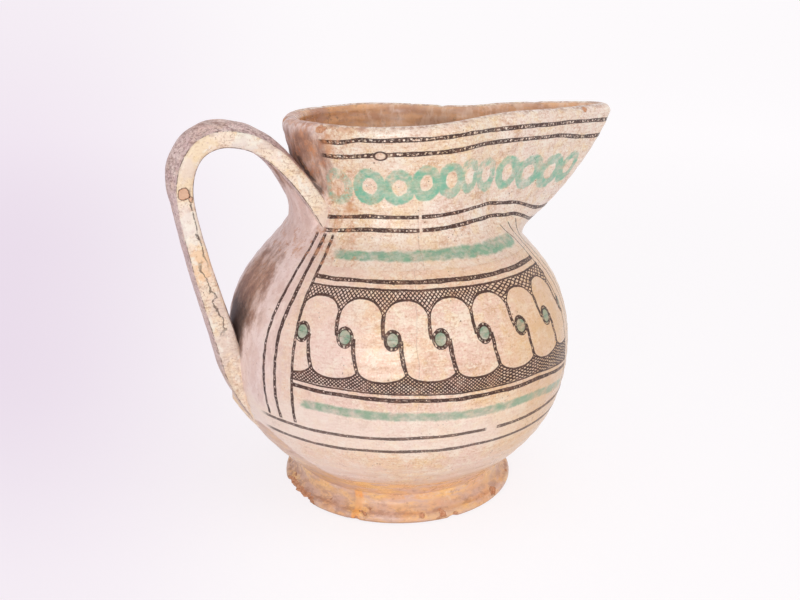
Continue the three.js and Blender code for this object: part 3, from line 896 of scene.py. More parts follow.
def make_strap(material):
    path = strap_path(STRAP_SECTIONS)
    share = np.linspace(0, 1, STRAP_SECTIONS)
    kernel = np.ones(9) / 9
    slopes = [np.convolve(np.pad(part, 4, mode="edge"), kernel, "valid")
              for part in np.gradient(path, axis=0).T]
    tangent = unit(np.stack(slopes, axis=1))
    outward = np.stack([tangent[:, 1], 0 * share, -tangent[:, 0]], axis=1)
    flare = (STRAP_ROOT_FLARE * (1 - smoothstep(share, 0.03, 0.23))
             + STRAP_TAIL_FLARE * smoothstep(share, 0.75, 1))
    half_width = ((STRAP_WIDTH + flare) / 2)[:, None]
    thickening = smoothstep(share, 0.47, 0.82)[:, None]
    half_edge = (STRAP_EDGE + (STRAP_TAIL_EDGE - STRAP_EDGE) * thickening) / 2
    crowned_part = smoothstep(share, 0.04, 0.33) * (1 - smoothstep(share, 0.38, 0.55))
    crown = STRAP_FLAT_CROWN + (STRAP_CROWN - STRAP_FLAT_CROWN) * crowned_part[:, None]
    across, level, shift, lift = strap_outline().T
    out = level * half_edge + lift + crown * (1 - across**2) * (level > 0)
    centre = np.stack([path[:, 0], 0 * share, path[:, 1]], axis=1)
    sections = centre[:, None, :] + outward[:, None, :] * out[..., None]
    sections[..., 1] += across * (half_width - STRAP_CORNER) + shift
    strap = lofted("handle_glazed", sections)
    strap.data.materials.append(material)
    points = points_of(strap)
    inward = unit(np.repeat(centre, len(level), axis=0) - points)
    grain = points * (1.0, 3.0, 1.0)
    uneven = 0.0005 * (1 + ripple(grain, 0.030, 61)) + 0.00025 * (1 + ripple(points, 0.008, 62))
    points += inward * uneven[:, None]
    bare = np.zeros(len(points))
    for place, width, depth in STRAP_CHIPS:
        away = np.linalg.norm(points - place, axis=1) + 0.0006 * ripple(points, 0.003, 63)
        bare = knock_off(points, bare, away, width, depth, inward,
                         core=0.4, bare_from=0.2, bare_to=0.6)
    sink_into_wall(points, depth=0.0025)
    face = smoothstep(np.abs(shift), STRAP_CORNER * 0.2, STRAP_CORNER * 0.9)
    face, front, level = np.tile([face, level > 0, level], STRAP_SECTIONS)
    share = np.repeat(share, len(across))
    return complete(strap, points, hard_angle=60, side=face, share=share, front=front, level=level,
                    bare=bare)


def sink_into_wall(points, depth):
    """Points that lie deeper than depth in the pot's wall are brought back to that depth."""
    radius = np.hypot(points[:, 0], points[:, 1])
    least = outer_radius(points[:, 2]) - depth
    grow = np.where(radius < least, least / np.maximum(radius, 1e-6), 1.0)
    points[:, :2] *= grow[:, None]


def root_fillet(_, height, run):
    """Thickness of the clay smoothed in under the strap's root, rounded off where it thins out."""
    path = strap_path(STRAP_SECTIONS)[:80]
    tangent = unit(np.gradient(path, axis=0))
    underside = path - np.stack([tangent[:, 1], -tangent[:, 0]], axis=1) * STRAP_EDGE / 2
    stand = np.interp(height, underside[:, 1], -underside[:, 0]) - 0.0008 - outer_radius(height)
    reach = (STRAP_WIDTH + STRAP_ROOT_FLARE * (1 - smoothstep(height, 0.184, 0.232))) / 2
    fill = stand - 0.020 * smoothstep(np.abs(run), reach - 0.008, reach + 0.002)
    closeness = np.clip(1 - np.abs(fill - LUTING_EDGE) / ROOT_FILLET, 0.0, 1.0)
    return np.maximum(fill, LUTING_EDGE) + ROOT_FILLET / 4 * closeness**2


def tail_skirt(share, *_):
    """Thickness of the clay pressed round the strap's tail: low, and thinning out over the wall."""
    return TAIL_SKIRT * (1 - share) ** 1.6 + LUTING_EDGE * share**3


def make_luting(name, size, thickness, material, seed):
    """Clay pressed round an end of the strap, as a patch that follows the wall."""
    centre, half_width, up, down = size
    rings, spokes = LUTING_RINGS, LUTING_SPOKES
    share = np.linspace(0, 1, rings + 1)[1:, None]
    turn = np.linspace(0, 2 * math.pi, spokes, endpoint=False)[None, :]
    edge = 1 - 0.03 * (1 + np.sin(3 * turn + seed)) - 0.02 * (1 + np.sin(5 * turn + 2 * seed))
    run = share * edge * half_width * np.cos(turn)
    height = centre + share * edge * np.where(np.sin(turn) > 0, up, down) * np.sin(turn)
    angle = math.pi + run / outer_radius(height)
    sides = []
    for lift in (thickness(share, height, run), -LUTING_DEPTH):
        radius = outer_radius(height) + lift
        side = np.stack([radius * np.cos(angle), radius * np.sin(angle), height], axis=2)
        sides.append(side.reshape(-1, 3))
    middles = [(-outer_radius(centre) - lift, 0.0, centre)
               for lift in (thickness(0.0, centre, 0.0), -LUTING_DEPTH)]
    points = np.concatenate([*sides, middles])
    draw = int(seed * 10)
    bumps = 0.0005 * ripple(points, 0.010, draw) + 0.0002 * ripple(points, 0.004, draw + 1)
    fading = np.broadcast_to((1 - share) ** 0.5, (rings, spokes)).ravel()
    weight = np.concatenate([fading, np.zeros(rings * spokes), [1, 0]])
    points[:, :2] *= (1 + bumps * weight / np.hypot(points[:, 0], points[:, 1]))[:, None]
    count = rings * spokes
    upper = tube_faces(rings, spokes)
    faces = upper.tolist() + (upper[:, ::-1] + count).tolist()
    for j in range(spokes):
        k = (j + 1) % spokes
        a, b = count - spokes + j, count - spokes + k
        faces += [[2 * count, j, k], [2 * count + 1, count + k, count + j], [a, a + count, b + count, b]]
    piece = face_outwards(new_piece(name, points, [], faces))
    piece.data.materials.append(material)
    return complete(piece, points, hard_angle=60)


# Finishes used by several materials

@shader_group
def brushed_line(point=NOWHERE, across=0.0, half_width=0.8, sway=1.6, fleck=0.3):
    """A stroke of dark slip: crisp at its edges, worn to white flecks along its middle."""
    half = half_width * (cloud(point, 11.0, 6.0) * 0.8 + 0.6)
    away = abs(across + (cloud(point, 26.0, 1.0) - 0.5) * sway) - half
    body = (away + (cloud(point, 1.3, 2.0) - 0.5) * 0.5).step(0.15, -0.15)
    core = (away + half * 0.4).step(0.1, -0.2)
    spots = cells(point, 1.9, 3.0) + (cloud(point, 8.0, 4.0) - 0.5) * 0.35
    flecks = spots.step(fleck, fleck - 0.12) * core
    dry = cloud(point, 1.6, 5.0, detail=3.0, roughness=0.65).step(0.50, 0.66) * core
    return {"Ink": body * (1.0 - flecks) * (1.0 - (dry * fleck * 1.6).least(0.8))}


@shader_group
def copper_wash(point=NOWHERE, mask=0.0, strength=1.0, tint=rgb(44, 148, 118),
                second_tint=rgb(112, 164, 112)):
    """Green brushed on thin, darker where the brush pooled."""
    streaks = cloud(point, 4.0, 1.0, detail=4.0, roughness=0.65, stretch=(0.8, 0.8, 1.3))
    pools = cloud(point, 8.0, 2.0, detail=3.0)
    soft = roughened(mask, (streaks - 0.5) * 0.8, 0.1, 0.18, 0.8)
    density = (pools.step(0.32, 0.68) * 0.45 + streaks.step(0.35, 0.65) * 0.35 + 0.26).least(1.0)
    color = blend(pools.step(0.35, 0.65), tint, second_tint)
    return {"Cover": soft * density * strength, "Color": color}


@shader_group
def worn_glaze(point=NOWHERE, cool=rgb(238, 203, 186), warm=rgb(240, 200, 158), ochre=rgb(240, 206, 146),
               rose=rgb(240, 198, 182), pale=rgb(250, 236, 216), stain=rgb(202, 146, 108),
               pit_color=rgb(112, 72, 54), wear=1.0, pits=0.8, roughness=0.33):
    """White tin glaze gone peach and cream, with stains, pits, wiping marks and craze."""
    broad = cloud(point, 46.0, 1.0, detail=3.0)
    patch = cloud(point, 12.0, 2.0, detail=5.0, roughness=0.62)
    fine = cloud(point, 2.8, 3.0, detail=4.0, roughness=0.68)
    marks = cloud(point, 2.2, 9.0, detail=4.0, roughness=0.6, stretch=(0.35, 0.35, 1.7))
    tint = cloud(point, 7.0, 10.0, detail=3.0)
    grain = cloud(point, 1.15, 11.0, roughness=0.6)
    color = tinted(blend(broad.step(0.38, 0.62), cool, warm), (
        (tint, 0.50, 0.68, 0.45, ochre), (tint, 0.48, 0.32, 0.40, rose),
        (patch, 0.52, 0.66, 0.65, pale), (patch, 0.46, 0.30, wear * 0.55, stain),
        (marks, 0.54, 0.66, 0.60, pale), (marks, 0.45, 0.32, wear * 0.50, stain),
        (fine, 0.56, 0.72, 0.55, pale), (fine, 0.43, 0.28, wear * 0.55, stain),
        (grain, 0.54, 0.68, 0.60, pale), (grain, 0.45, 0.31, wear * 0.50, stain),
    ))
    crowd = cloud(point, 15.0, 12.0, detail=3.0, roughness=0.6).step(0.48, 0.62)
    nearest = cells(point, 2.5, 4.0) + (cloud(point, 9.0, 5.0) - 0.5) * 0.5
    pin = nearest.step(0.16, 0.06) * pits * crowd
    craze = cells(point, 5.0, 6.0, feature="DISTANCE_TO_EDGE").step(0.045, 0.0)
    craze = craze * cloud(point, 20.0, 7.0).step(0.42, 0.62) * 0.4 * wear
    color = blend(craze, blend(pin, color, pit_color), stain)
    rough = roughness + (patch - 0.5) * 0.4 + (fine - 0.5) * 0.3 + pin * 0.3
    height = tint * 0.9 + patch * 0.45 + fine * 0.28 + grain * 0.12 + marks * 0.22 - pin * 0.7 - craze * 0.3
    return {"Color": color, "Roughness": rough, "Height": height}


@shader_group
def bare_clay(point=NOWHERE, mask=0.0):
    """Fired clay where the glaze is gone, with the ragged edge of the loss."""
    ragged = cloud(point, 1.8, 1.0, detail=4.0, roughness=0.7)
    loss = roughened(mask, (ragged - 0.5) * 0.9, 0.1, 0.42, 0.58)
    tone = cloud(point, 1.1, 2.0, detail=4.0, roughness=0.7)
    grit = cells(point, 0.9, 3.0)
    color = blend(tone.step(0.3, 0.7), rgb(192, 126, 92), rgb(230, 180, 146))
    color = blend(grit.step(0.22, 0.05) * 0.6, color, rgb(238, 206, 178))
    return {"Mask": loss, "Color": color, "Height": tone * 0.5 + grit * 0.3 - 0.8}


@shader_group
def honey_glaze(point=NOWHERE, dirt=0.6, film=0.5, deep=rgb(172, 112, 72), amber=rgb(212, 150, 96),
                film_color=rgb(196, 154, 136), dirt_color=rgb(112, 74, 54),
                worn_color=rgb(236, 202, 178)):
    """Clear lead glaze over the bare body: amber where thick, mauve where dull, brown where dirty, with pale
    spots of painted highlight.
    """
    flow = cloud(point, 13.0, 1.0, detail=4.0, roughness=0.6, stretch=(0.6, 0.6, 1.4))
    blotch = cloud(point, 4.5, 2.0, detail=5.0, roughness=0.66)
    haze = cloud(point, 9.0, 3.0, detail=4.0, roughness=0.62, stretch=(0.5, 0.5, 1.8))
    # Where this noise is high the glaze gets pale spots of painted highlight
    shine = cloud(point, 5.0, 5.0, detail=5.0, roughness=0.7)
    color = tinted(blend(flow.step(0.36, 0.62), deep, amber), (
        (haze, 0.46, 0.64, film, film_color), (blotch, 0.46, 0.30, dirt, dirt_color),
        (blotch, 0.57, 0.74, 0.5, amber), (shine, 0.58, 0.70, 0.6, worn_color),
    ))
    rough = blotch.step(0.45, 0.75) * 0.2 + haze.step(0.5, 0.66) * 0.2 + 0.20
    return {"Color": color, "Roughness": rough, "Height": flow * 0.7 + blotch * 0.45}


@shader_group
def sheltered_side(point=NOWHERE):
    """Pinkish film, brown dirt and painted shade on the wall behind the handle, placed by angle and height.
    """
    x, y, z = split(point)
    away = 180.0 - abs(arc_tangent(y, x) / DEGREE)
    streak = cloud(point, 9.0, 1.0, detail=5.0, roughness=0.70, stretch=(1.0, 1.0, 0.55))
    speck = cloud(point, 2.0, 2.0, detail=4.0, roughness=0.72)
    uneven = (streak - 0.5) * 1.5 + (speck - 0.5) * 0.6
    film = roughened(away.step(46.0, 16.0) * z.step(60.0, 92.0) * 0.9, uneven, 0.15, 0.2, 0.8)
    tone = tinted(blend(streak.step(0.4, 0.6), rgb(246, 222, 218), rgb(230, 198, 190)), (
        (speck, 0.55, 0.7, 0.6, rgb(240, 216, 200)), (speck, 0.43, 0.3, 0.5, rgb(160, 118, 104)),
    ))
    belly = away.step(24.0, 7.0) * z.between(108.0, 128.0, 150.0, 176.0) * 0.94
    # Painted shadow behind the strap's lower end, mixed with dirt
    core = away.step(15.0, 5.0) * z.between(92.0, 104.0, 124.0, 144.0)
    neck = away.step(46.0, 22.0) * z.between(192.0, 204.0, 228.0, 242.0) * 0.84
    # Painted shade and grime in the crease along the strap's root
    crease = (z - 192.5) * 0.95 + away - 31.0
    fold = abs(crease).step(6.0, 0.5) * z.between(194.0, 203.0, 216.0, 223.0)
    mask = strongest([belly, core * 1.2, neck, fold * 1.3])
    cover = roughened(mask, uneven, 0.2, 0.25, 0.95)
    # The dirt goes darkest where it is painted shadow: in the core and the crease
    depth = (core.most(fold) * 0.9 + speck.step(0.6, 0.35) * 0.35).least(1.0)
    dirt = blend(streak.step(0.38, 0.62), rgb(194, 146, 118), rgb(160, 116, 98))
    dirt = blend(depth, dirt, rgb(60, 40, 30))
    return {"Film": film * 0.9, "Film Color": tone, "Dirt": cover * 0.9, "Dirt Color": dirt}


@shader_group
def painted_ring(run=0.0, height=0.0, centre_run=0.0, centre_height=0.0, half_width=9.0,
                 half_height=10.0, wobble=0.0, strength=1.0):
    """One ring drawn with a full brush, given by its centre and how far it reaches each way."""
    x = (run - centre_run) / half_width
    y = (height - centre_height) / half_height
    away = root(x * x + y * y) + wobble
    pooled = 1.0 - y.step(-0.4, 0.8) * 0.25
    return {"Mask": away.between(0.34, 0.54, 0.90, 1.14) * pooled * strength}


# Materials

class Glaze:
    """One material on its way: a colour, a roughness and a height that the steps build up."""

    def __init__(self, name, group, **values):
        self.material = bpy.data.materials.new(name)
        self.material.use_nodes = True
        self.tree = self.material.node_tree
        self.point = scaled(add(self.tree, "ShaderNodeTexCoord", output="Object"), MM)
        self.x, self.y, self.z = split(self.point)
        self.degrees = arc_tangent(self.y, self.x) / DEGREE
        self.turn = abs(self.degrees)
        self.radius = root(self.x * self.x + self.y * self.y)
        self.gloss = 1.0
        base = use(self.tree, group, point=self.point, **values)
        self.color, self.rough, self.height = base["Color"], base["Roughness"], base["Height"]

    def attribute(self, name):
        return add(self.tree, "ShaderNodeAttribute", output="Fac", attribute_name=name)

    def sway(self, size, seed, amount, **more):
        """Noise that goes half of amount both ways."""
        return (cloud(self.point, size, seed, **more) - 0.5) * amount

    def patches(self, size, seed, low, high, **more):
        """Blotches about size across, where the noise is past low and fully past high."""
        return cloud(self.point, size, seed, **more).step(low, high)

    def lay(self, cover, color, rough=None, height=None):
        """Lays another finish over the one so far, where cover is 1."""
        self.color = blend(cover, self.color, color)
        if rough is not None:
            self.rough = mixed(cover, self.rough, rough)
        if height is not None:
            self.height = mixed(cover, self.height, height)

    def lay_group(self, cover, group, **values):
        over = use(self.tree, group, point=self.point, **values)
        self.lay(cover, over["Color"], over["Roughness"], over["Height"])

    def dull(self, amount):
        """Takes the coat's shine away by an amount."""
        self.gloss = (1.0 - amount) * self.gloss

    def paint(self, ink):
        """Dark slip, thin and brown in places, standing a little proud of the glaze."""
        color = blend(self.patches(6.0, 71.0, 0.5, 0.72, detail=3.0), INK, WORN_INK)
        self.lay(ink * 0.97, color, 0.45)
        self.height = self.height + ink * 0.35
        self.dull(ink * 0.9)

    def wash(self, mask, **values):
        copper = use(self.tree, copper_wash, point=self.point, mask=mask, **values)
        self.lay(copper["Cover"], copper["Color"])

    # Lays the film, then the dirt with its painted shade behind the handle, and dulls the coat there
    def shelter(self):
        side = use(self.tree, sheltered_side, point=self.point)
        self.lay(side["Film"], side["Film Color"], 0.6)
        self.lay(side["Dirt"], side["Dirt Color"], 0.75)
        self.dull(side["Dirt"] * 0.8)

    def bare(self, mask):
        clay = use(self.tree, bare_clay, point=self.point, mask=mask)
        self.lay(abs(clay["Mask"] - 0.35).step(0.35, 0.10) * 0.6, rgb(116, 76, 58), 0.8)
        self.lay(clay["Mask"], clay["Color"], 0.9, clay["Height"])
        self.dull(clay["Mask"])

    def finish(self, relief, coat):
        bump = add(self.tree, "ShaderNodeBump", {"Strength": 1.0, "Distance": relief, "Height": self.height})
        inputs = self.tree.nodes["Principled BSDF"].inputs
        put(inputs["Base Color"], self.color)
        put(inputs["Roughness"], self.rough.most(0.12).least(0.95))
        put(inputs["Normal"], bump)
        put(inputs["Coat Weight"], self.gloss * coat)
        inputs["Coat Roughness"].default_value = 0.26
        inputs["Specular IOR Level"].default_value = 0.36
        return self.material


# Tones of the honey glaze where it shows on the belly and the foot, with the colour of its painted
# highlights
FOOT_TONES = {
    "dirt": 0.5, "film": 0.85, "deep": rgb(238, 184, 142), "amber": rgb(254, 204, 136),
    "film_color": rgb(224, 190, 178), "dirt_color": rgb(160, 106, 80), "worn_color": rgb(250, 222, 192),
}
INK = rgb(56, 24, 16)
WORN_INK = rgb(108, 72, 58)
BAND_GREEN = rgb(88, 146, 122)
PALE_BAND_GREEN = rgb(130, 166, 136)


def on_the_wall(glaze, degrees):
    """Turn in degrees as a length along the round wall, in mm."""
    return degrees * glaze.radius * DEGREE


def near(glaze, degrees, height, size):
    """1 at a place on the wall, fading out over size mm."""
    across = on_the_wall(glaze, glaze.degrees - degrees)
    up = glaze.z - height
    return root(across * across + up * up).step(size, 0.0)


def panel_turn(glaze):
    """Degrees from the middle of the painted panel on either side of the jug."""
    return glaze.degrees - glaze.degrees.sign() * PANEL_MIDDLE


def stroke(glaze, across, half_width, fleck, sway=1.6):
    """A brushed line where across, the distance from its middle in mm, is 0."""
    return use(glaze.tree, brushed_line, point=glaze.point, across=across, half_width=half_width,
               fleck=fleck, sway=sway)["Ink"]


def uprights(glaze, low, high):
    """The three upright lines that close the panel: bold by the handle, fine by the spout."""
    z = glaze.z
    spread = z.step(164.0, 181.0) * 0.8
    bulge = z.between(60.0, 92.0, 116.0, 152.0) * 1.8
    lines = []
    for degrees, half_width in UPRIGHTS:
        place = degrees
        if degrees < PANEL_MIDDLE:
            place = spread * (degrees - FIRST_UPRIGHT) + degrees
        elif degrees > PANEL_MIDDLE + PANEL_HALF:
            place = bulge + degrees
        lines.append(stroke(glaze, on_the_wall(glaze, glaze.turn - place), half_width, 0.3))
    return strongest(lines) * z.between(low, low + 1.5, high - 1.5, high)


def shade_shoulder(glaze):
    """Painted shade: a greyer band in the crease under the collar; then the film, dirt and painted shade by
    the handle.
    """
    glaze.lay(abs(glaze.z - SHOULDER_SHADE).step(14.0, 4.0) * 0.32, rgb(208, 174, 156))
    glaze.shelter()


def hair_crack(glaze, turn, slant, sway, width, where):
    """A crack that climbs the wall from one turn, swaying as it goes."""
    across = (glaze.turn - turn) * slant + glaze.sway(18.0, 15.0, sway)
    glaze.lay(abs(across).step(width, 0.05) * where * 0.5, rgb(150, 108, 92))


def painted_belly_material():
    glaze = Glaze("painted_belly", worn_glaze)
    z, turn = glaze.z, glaze.turn
    low_tone = glaze.patches(5.0, 14.0, 0.3, 0.6, detail=4.0, stretch=(0.4, 0.4, 1.6))
    glaze.lay(z.step(62.0, 34.0) * 0.75 * low_tone, rgb(226, 196, 178))
    ochre = turn.between(12.0, 34.0, 46.0, 98.0) * z.step(165.0, 146.0)
    ochre = ochre * (glaze.patches(9.0, 17.0, 0.25, 0.65, detail=4.0, roughness=0.6) * 0.6 + 0.4)
    glaze.lay(ochre * 0.95, rgb(224, 180, 132))
    glaze.lay(turn.step(108.0, 138.0) * 0.4, rgb(240, 212, 206))
    below = z.between(56.0, 66.0, 84.0, 94.0) * turn.step(60.0, 84.0)
    glaze.lay(below * 0.45, rgb(250, 234, 222))
    around = panel_turn(glaze)
    panel = abs(around).step(PANEL_HALF + 0.2, PANEL_HALF - 0.2)
    lift = glaze.sway(40.0, 10.0, 1.0)
    run = around * MM_PER_DEGREE + glaze.sway(34.0, 9.0, 2.5)
    low_line = (turn - 94.0).most(0.0) * 0.068 - turn.step(66.0, 42.0) * 5.0 + PANEL_LOW_LINE
    lobes, eyes = guilloche(glaze, run, z + lift * 2.5, low_line + INNER_LINE_GAP)
    lines = [(z - PANEL_TOP_LINE, 1.0, 0.27), (z - INNER_TOP_LINE, 0.5, 0.1),
             (z - low_line - INNER_LINE_GAP, 0.5, 0.1), (z - low_line, 1.15, 0.24)]
    ink = strongest([lobes] + [stroke(glaze, *line) for line in lines]) * panel
    gap = abs(turn - RING_GAP_TURN).step(1.6, 2.4)
    rings = (stroke(glaze, z - UPPER_RING, 1.0, 0.2) * gap).most(stroke(glaze, z - LOWER_RING, 1.0, 0.2))
    rings = rings * turn.between(27.0, 31.0, 156.0, 162.0) * 0.9
    ink = strongest([ink, rings, uprights(glaze, 74.0, 200.0)])
    band = abs(z - low_line + GREEN_BAND_GAP + lift * 3.0).step(4.4, 0.6)
    band = band * abs(around).step(51.5, 46.0)
    shade_shoulder(glaze)
    glaze.wash(band, strength=0.9, tint=BAND_GREEN, second_tint=PALE_BAND_GREEN)
    glaze.wash(eyes * panel, strength=0.95, tint=rgb(62, 118, 98), second_tint=rgb(108, 148, 120))
    glaze.paint(ink)
    hair_crack(glaze, 106.0, 1.9, 5.0, 0.22, z.step(80.0, 96.0))
    slipless = 1.0 - glaze.attribute("slip")
    glaze.lay_group(slipless, honey_glaze, **FOOT_TONES)
    waist = z.step(25.0, 17.0) * glaze.patches(8.0, 16.0, 0.3, 0.6, detail=3.0)
    glaze.lay(waist * 0.35, rgb(214, 172, 150), 0.5)
    rear = cloud(glaze.point, 6.0, 18.0, detail=5.0, roughness=0.7, stretch=(0.5, 0.5, 1.6))
    haze = slipless * turn.step(128.0, 150.0) * (rear.step(0.36, 0.58) * 0.5 + 0.2)
    glaze.lay(haze, rgb(196, 156, 138), 0.6)
    soot = slipless * turn.step(112.0, 140.0) * rear.step(0.48, 0.34) * 0.55
    glaze.lay(soot, rgb(150, 104, 78), 0.7)
    glaze.lay_group(glaze.attribute("inside").step(0.4, 0.6), honey_glaze)
    return glaze.finish(0.0004, coat=0.5)


def cusp(x, start, power):
    """Height of the arch over one lobe, from 0 in the cusps to 1 over its middle."""
    share = abs((x - start).wrap(LOBE, 0.0) * (2 / LOBE) - 1.0)
    return (1.0 - share**power).most(0.0) ** 0.5


def guilloche(glaze, run, level, low):
    """The band of S-shaped lobes with an eye in each turn, on cross-hatched ground."""
    x = (run + (PANEL_HALF - 2.4) * MM_PER_DEGREE).wrap(LOBE / 2, -LOBE / 2)
    rise = level - EYE_LEVEL
    top = cusp(x, -5.5, 2.5) * LOBE_TOP_ARCH + LOBE_TOP
    bottom = LOBE_BOTTOM - cusp(x, 8.0, 2.2) * LOBE_BOTTOM_ARCH
    depth = (top - level).least(level - bottom)
    rim = stroke(glaze, depth, 0.6, 0.1, sway=0.2)
    below = (rise * -0.05).most(0.0)
    upper_stem = x + 4.9 + (rise * 0.2).sin() * 0.8
    lower_stem = x - 4.8 - below * below * 3.6
    across = mixed(rise.step(-0.3, 0.3), lower_stem, upper_stem)
    stem = stroke(glaze, across, 1.1, 0.33, sway=0.4) * depth.step(-0.5, 0.5)
    eye = root(x * x + rise * rise * 0.8)
    ring = stroke(glaze, eye - EYE_SIZE, 0.95, 0.38, sway=0.2)
    spread = (80.0 - glaze.turn).most(0.0) * glaze.degrees.sign() * MM_PER_DEGREE
    slant = run * 0.85 + spread * 0.42
    pitch = level.step(124.0, 132.0) * 0.35 + HATCH_PITCH
    climb = level + glaze.sway(6.0, 21.0, 2.0)
    slack = glaze.sway(2.4, 22.0, 0.22) - level.step(124.0, 116.0) * 0.06
    hatches = [(abs((way / pitch).fraction() - 0.5) + slack).step(0.25, 0.14)
               for way in (slant + climb, slant - climb)]
    patchy = glaze.patches(2.0, 23.0, 0.26, 0.42, detail=3.0) * 0.35 + 0.65
    field = depth.step(0.2, -0.2) * (level - low).step(0.0, 0.6)
    field = field * level.step(INNER_TOP_LINE + 0.2, INNER_TOP_LINE - 0.4)
    hatched = strongest(hatches) * patchy * field
    return strongest([hatched, rim * (level - low).step(-0.5, 1.0), stem, ring]), eye.step(4.6, 3.2)


def painted_neck_material():
    glaze = Glaze("painted_neck", worn_glaze, cool=rgb(240, 218, 204), warm=rgb(242, 214, 184),
                  rose=rgb(242, 210, 196), pale=rgb(252, 242, 228))
    drop, run, turn, z = glaze.attribute("drop"), glaze.attribute("run"), glaze.turn, glaze.z
    upper = turn.step(128.0, 142.0) * 2.2 + turn.step(85.0, 45.0) * 1.8 + turn.step(16.0, 4.0)
    lower = turn.step(118.0, 145.0) * 2.2 + turn.step(75.0, 40.0) * 1.2 + turn.step(22.0, 5.0) * 3.4
    bow = turn.step(100.0, 66.0) * 1.8 - turn.step(124.0, 150.0) * 2.4
    bow = bow - turn.step(56.0, 36.0) * 2.4 - turn.step(38.0, 8.0) * 10.5
    gap = abs(turn - 101.0).step(0.5, 0.9)
    falls = (upper + RIM_LINE_DROP, lower + LOWER_RIM_LINE_DROP)
    lines = [stroke(glaze, drop - fall, 1.25, 0.40, sway=1.2) for fall in falls]
    lines += [stroke(glaze, z - height - bow, 1.1, 0.32, sway=1.0) * gap for height in COLLAR_LINES]
    blob = root(((run - 191.0) * 0.66) ** 2.0 + (drop - 15.8) ** 2.0)
    loop = abs(blob - 2.3).step(0.6, 0.2)
    painted = turn.step(152.5, 149.5)
    ink = strongest([*lines, loop]) * blob.step(1.5, 2.0) * painted
    ink = ink.most(uprights(glaze, 0.0, 177.5))
    thick = turn.step(130.0, 60.0) * 1.6 + 3.9
    band = abs(z - COLLAR_BAND + glaze.sway(40.0, 10.0, 3.0)).step(thick, 0.6)
    shade_shoulder(glaze)
    glaze.wash(band * abs(panel_turn(glaze)).step(51.0, 45.0), strength=1.12, tint=BAND_GREEN,
               second_tint=PALE_BAND_GREEN)
    glaze.wash(ring_chain(glaze, run) * painted, tint=rgb(70, 168, 144), second_tint=rgb(122, 184, 154))
    glaze.paint(ink)
    hair_crack(glaze, 102.0, 1.2, 4.0, 0.2, drop.step(42.0, 50.0))
    rubbed = turn.step(116.0, 138.0) * 0.36 + drop.step(5.0, 1.0) * 0.16
    rubbed = rubbed + glaze.sway(5.0, 31.0, 1.7, detail=5.0, roughness=0.7)
    worn = (rubbed + glaze.sway(2.4, 32.0, 0.5, detail=4.0)).step(0.36, 0.60)
    tone = blend(glaze.patches(3.0, 34.0, 0.35, 0.65), rgb(190, 124, 88), rgb(222, 168, 134))
    glaze.lay(worn * 0.7, tone, 0.6)
    uneven = glaze.patches(3.0, 35.0, 0.3, 0.6, detail=4.0)
    for degrees, height, size in RUST_SPOTS:
        glaze.lay(near(glaze, degrees, height, size) * uneven * 0.75, rgb(208, 140, 94), 0.6)
    rust = drop.step(2.6, 0.4) * glaze.patches(4.0, 36.0, 0.44, 0.6, detail=4.0, roughness=0.65)
    glaze.lay(rust * 0.7, rgb(164, 108, 82), 0.7)
    inside = (glaze.attribute("inside") + glaze.sway(4.0, 33.0, 0.6, detail=3.0)).step(0.4, 0.6)
    glaze.lay_group(inside, honey_glaze, dirt=0.6, film=0.6, deep=rgb(194, 128, 86),
                    amber=rgb(240, 178, 122))
    # Painted highlight: the far side of the inside wall is made paler, with pale streaks of painted glint
    glint = glaze.patches(7.0, 37.0, 0.46, 0.64, detail=4.0, roughness=0.6, stretch=(1.0, 1.0, 0.4))
    glaze.lay(inside * glaze.x.step(-28.0, 14.0) * (glint * 0.55 + 0.3), rgb(242, 206, 180), 0.3)
    glaze.bare(glaze.attribute("bare"))
    return glaze.finish(0.0004, coat=0.5)


def ring_chain(glaze, run):
    """The rings painted round the collar, each where the brush set it down."""
    wobble = glaze.sway(9.0, 41.0, 0.35)
    rings = []
    for centre, height, half_width, half_height, strength in RINGS:
        ring = use(glaze.tree, painted_ring, run=run, height=glaze.z, centre_run=centre,
                   centre_height=height, half_width=half_width, half_height=half_height,
                   wobble=wobble, strength=strength)
        rings.append(ring["Mask"])
    return strongest(rings)


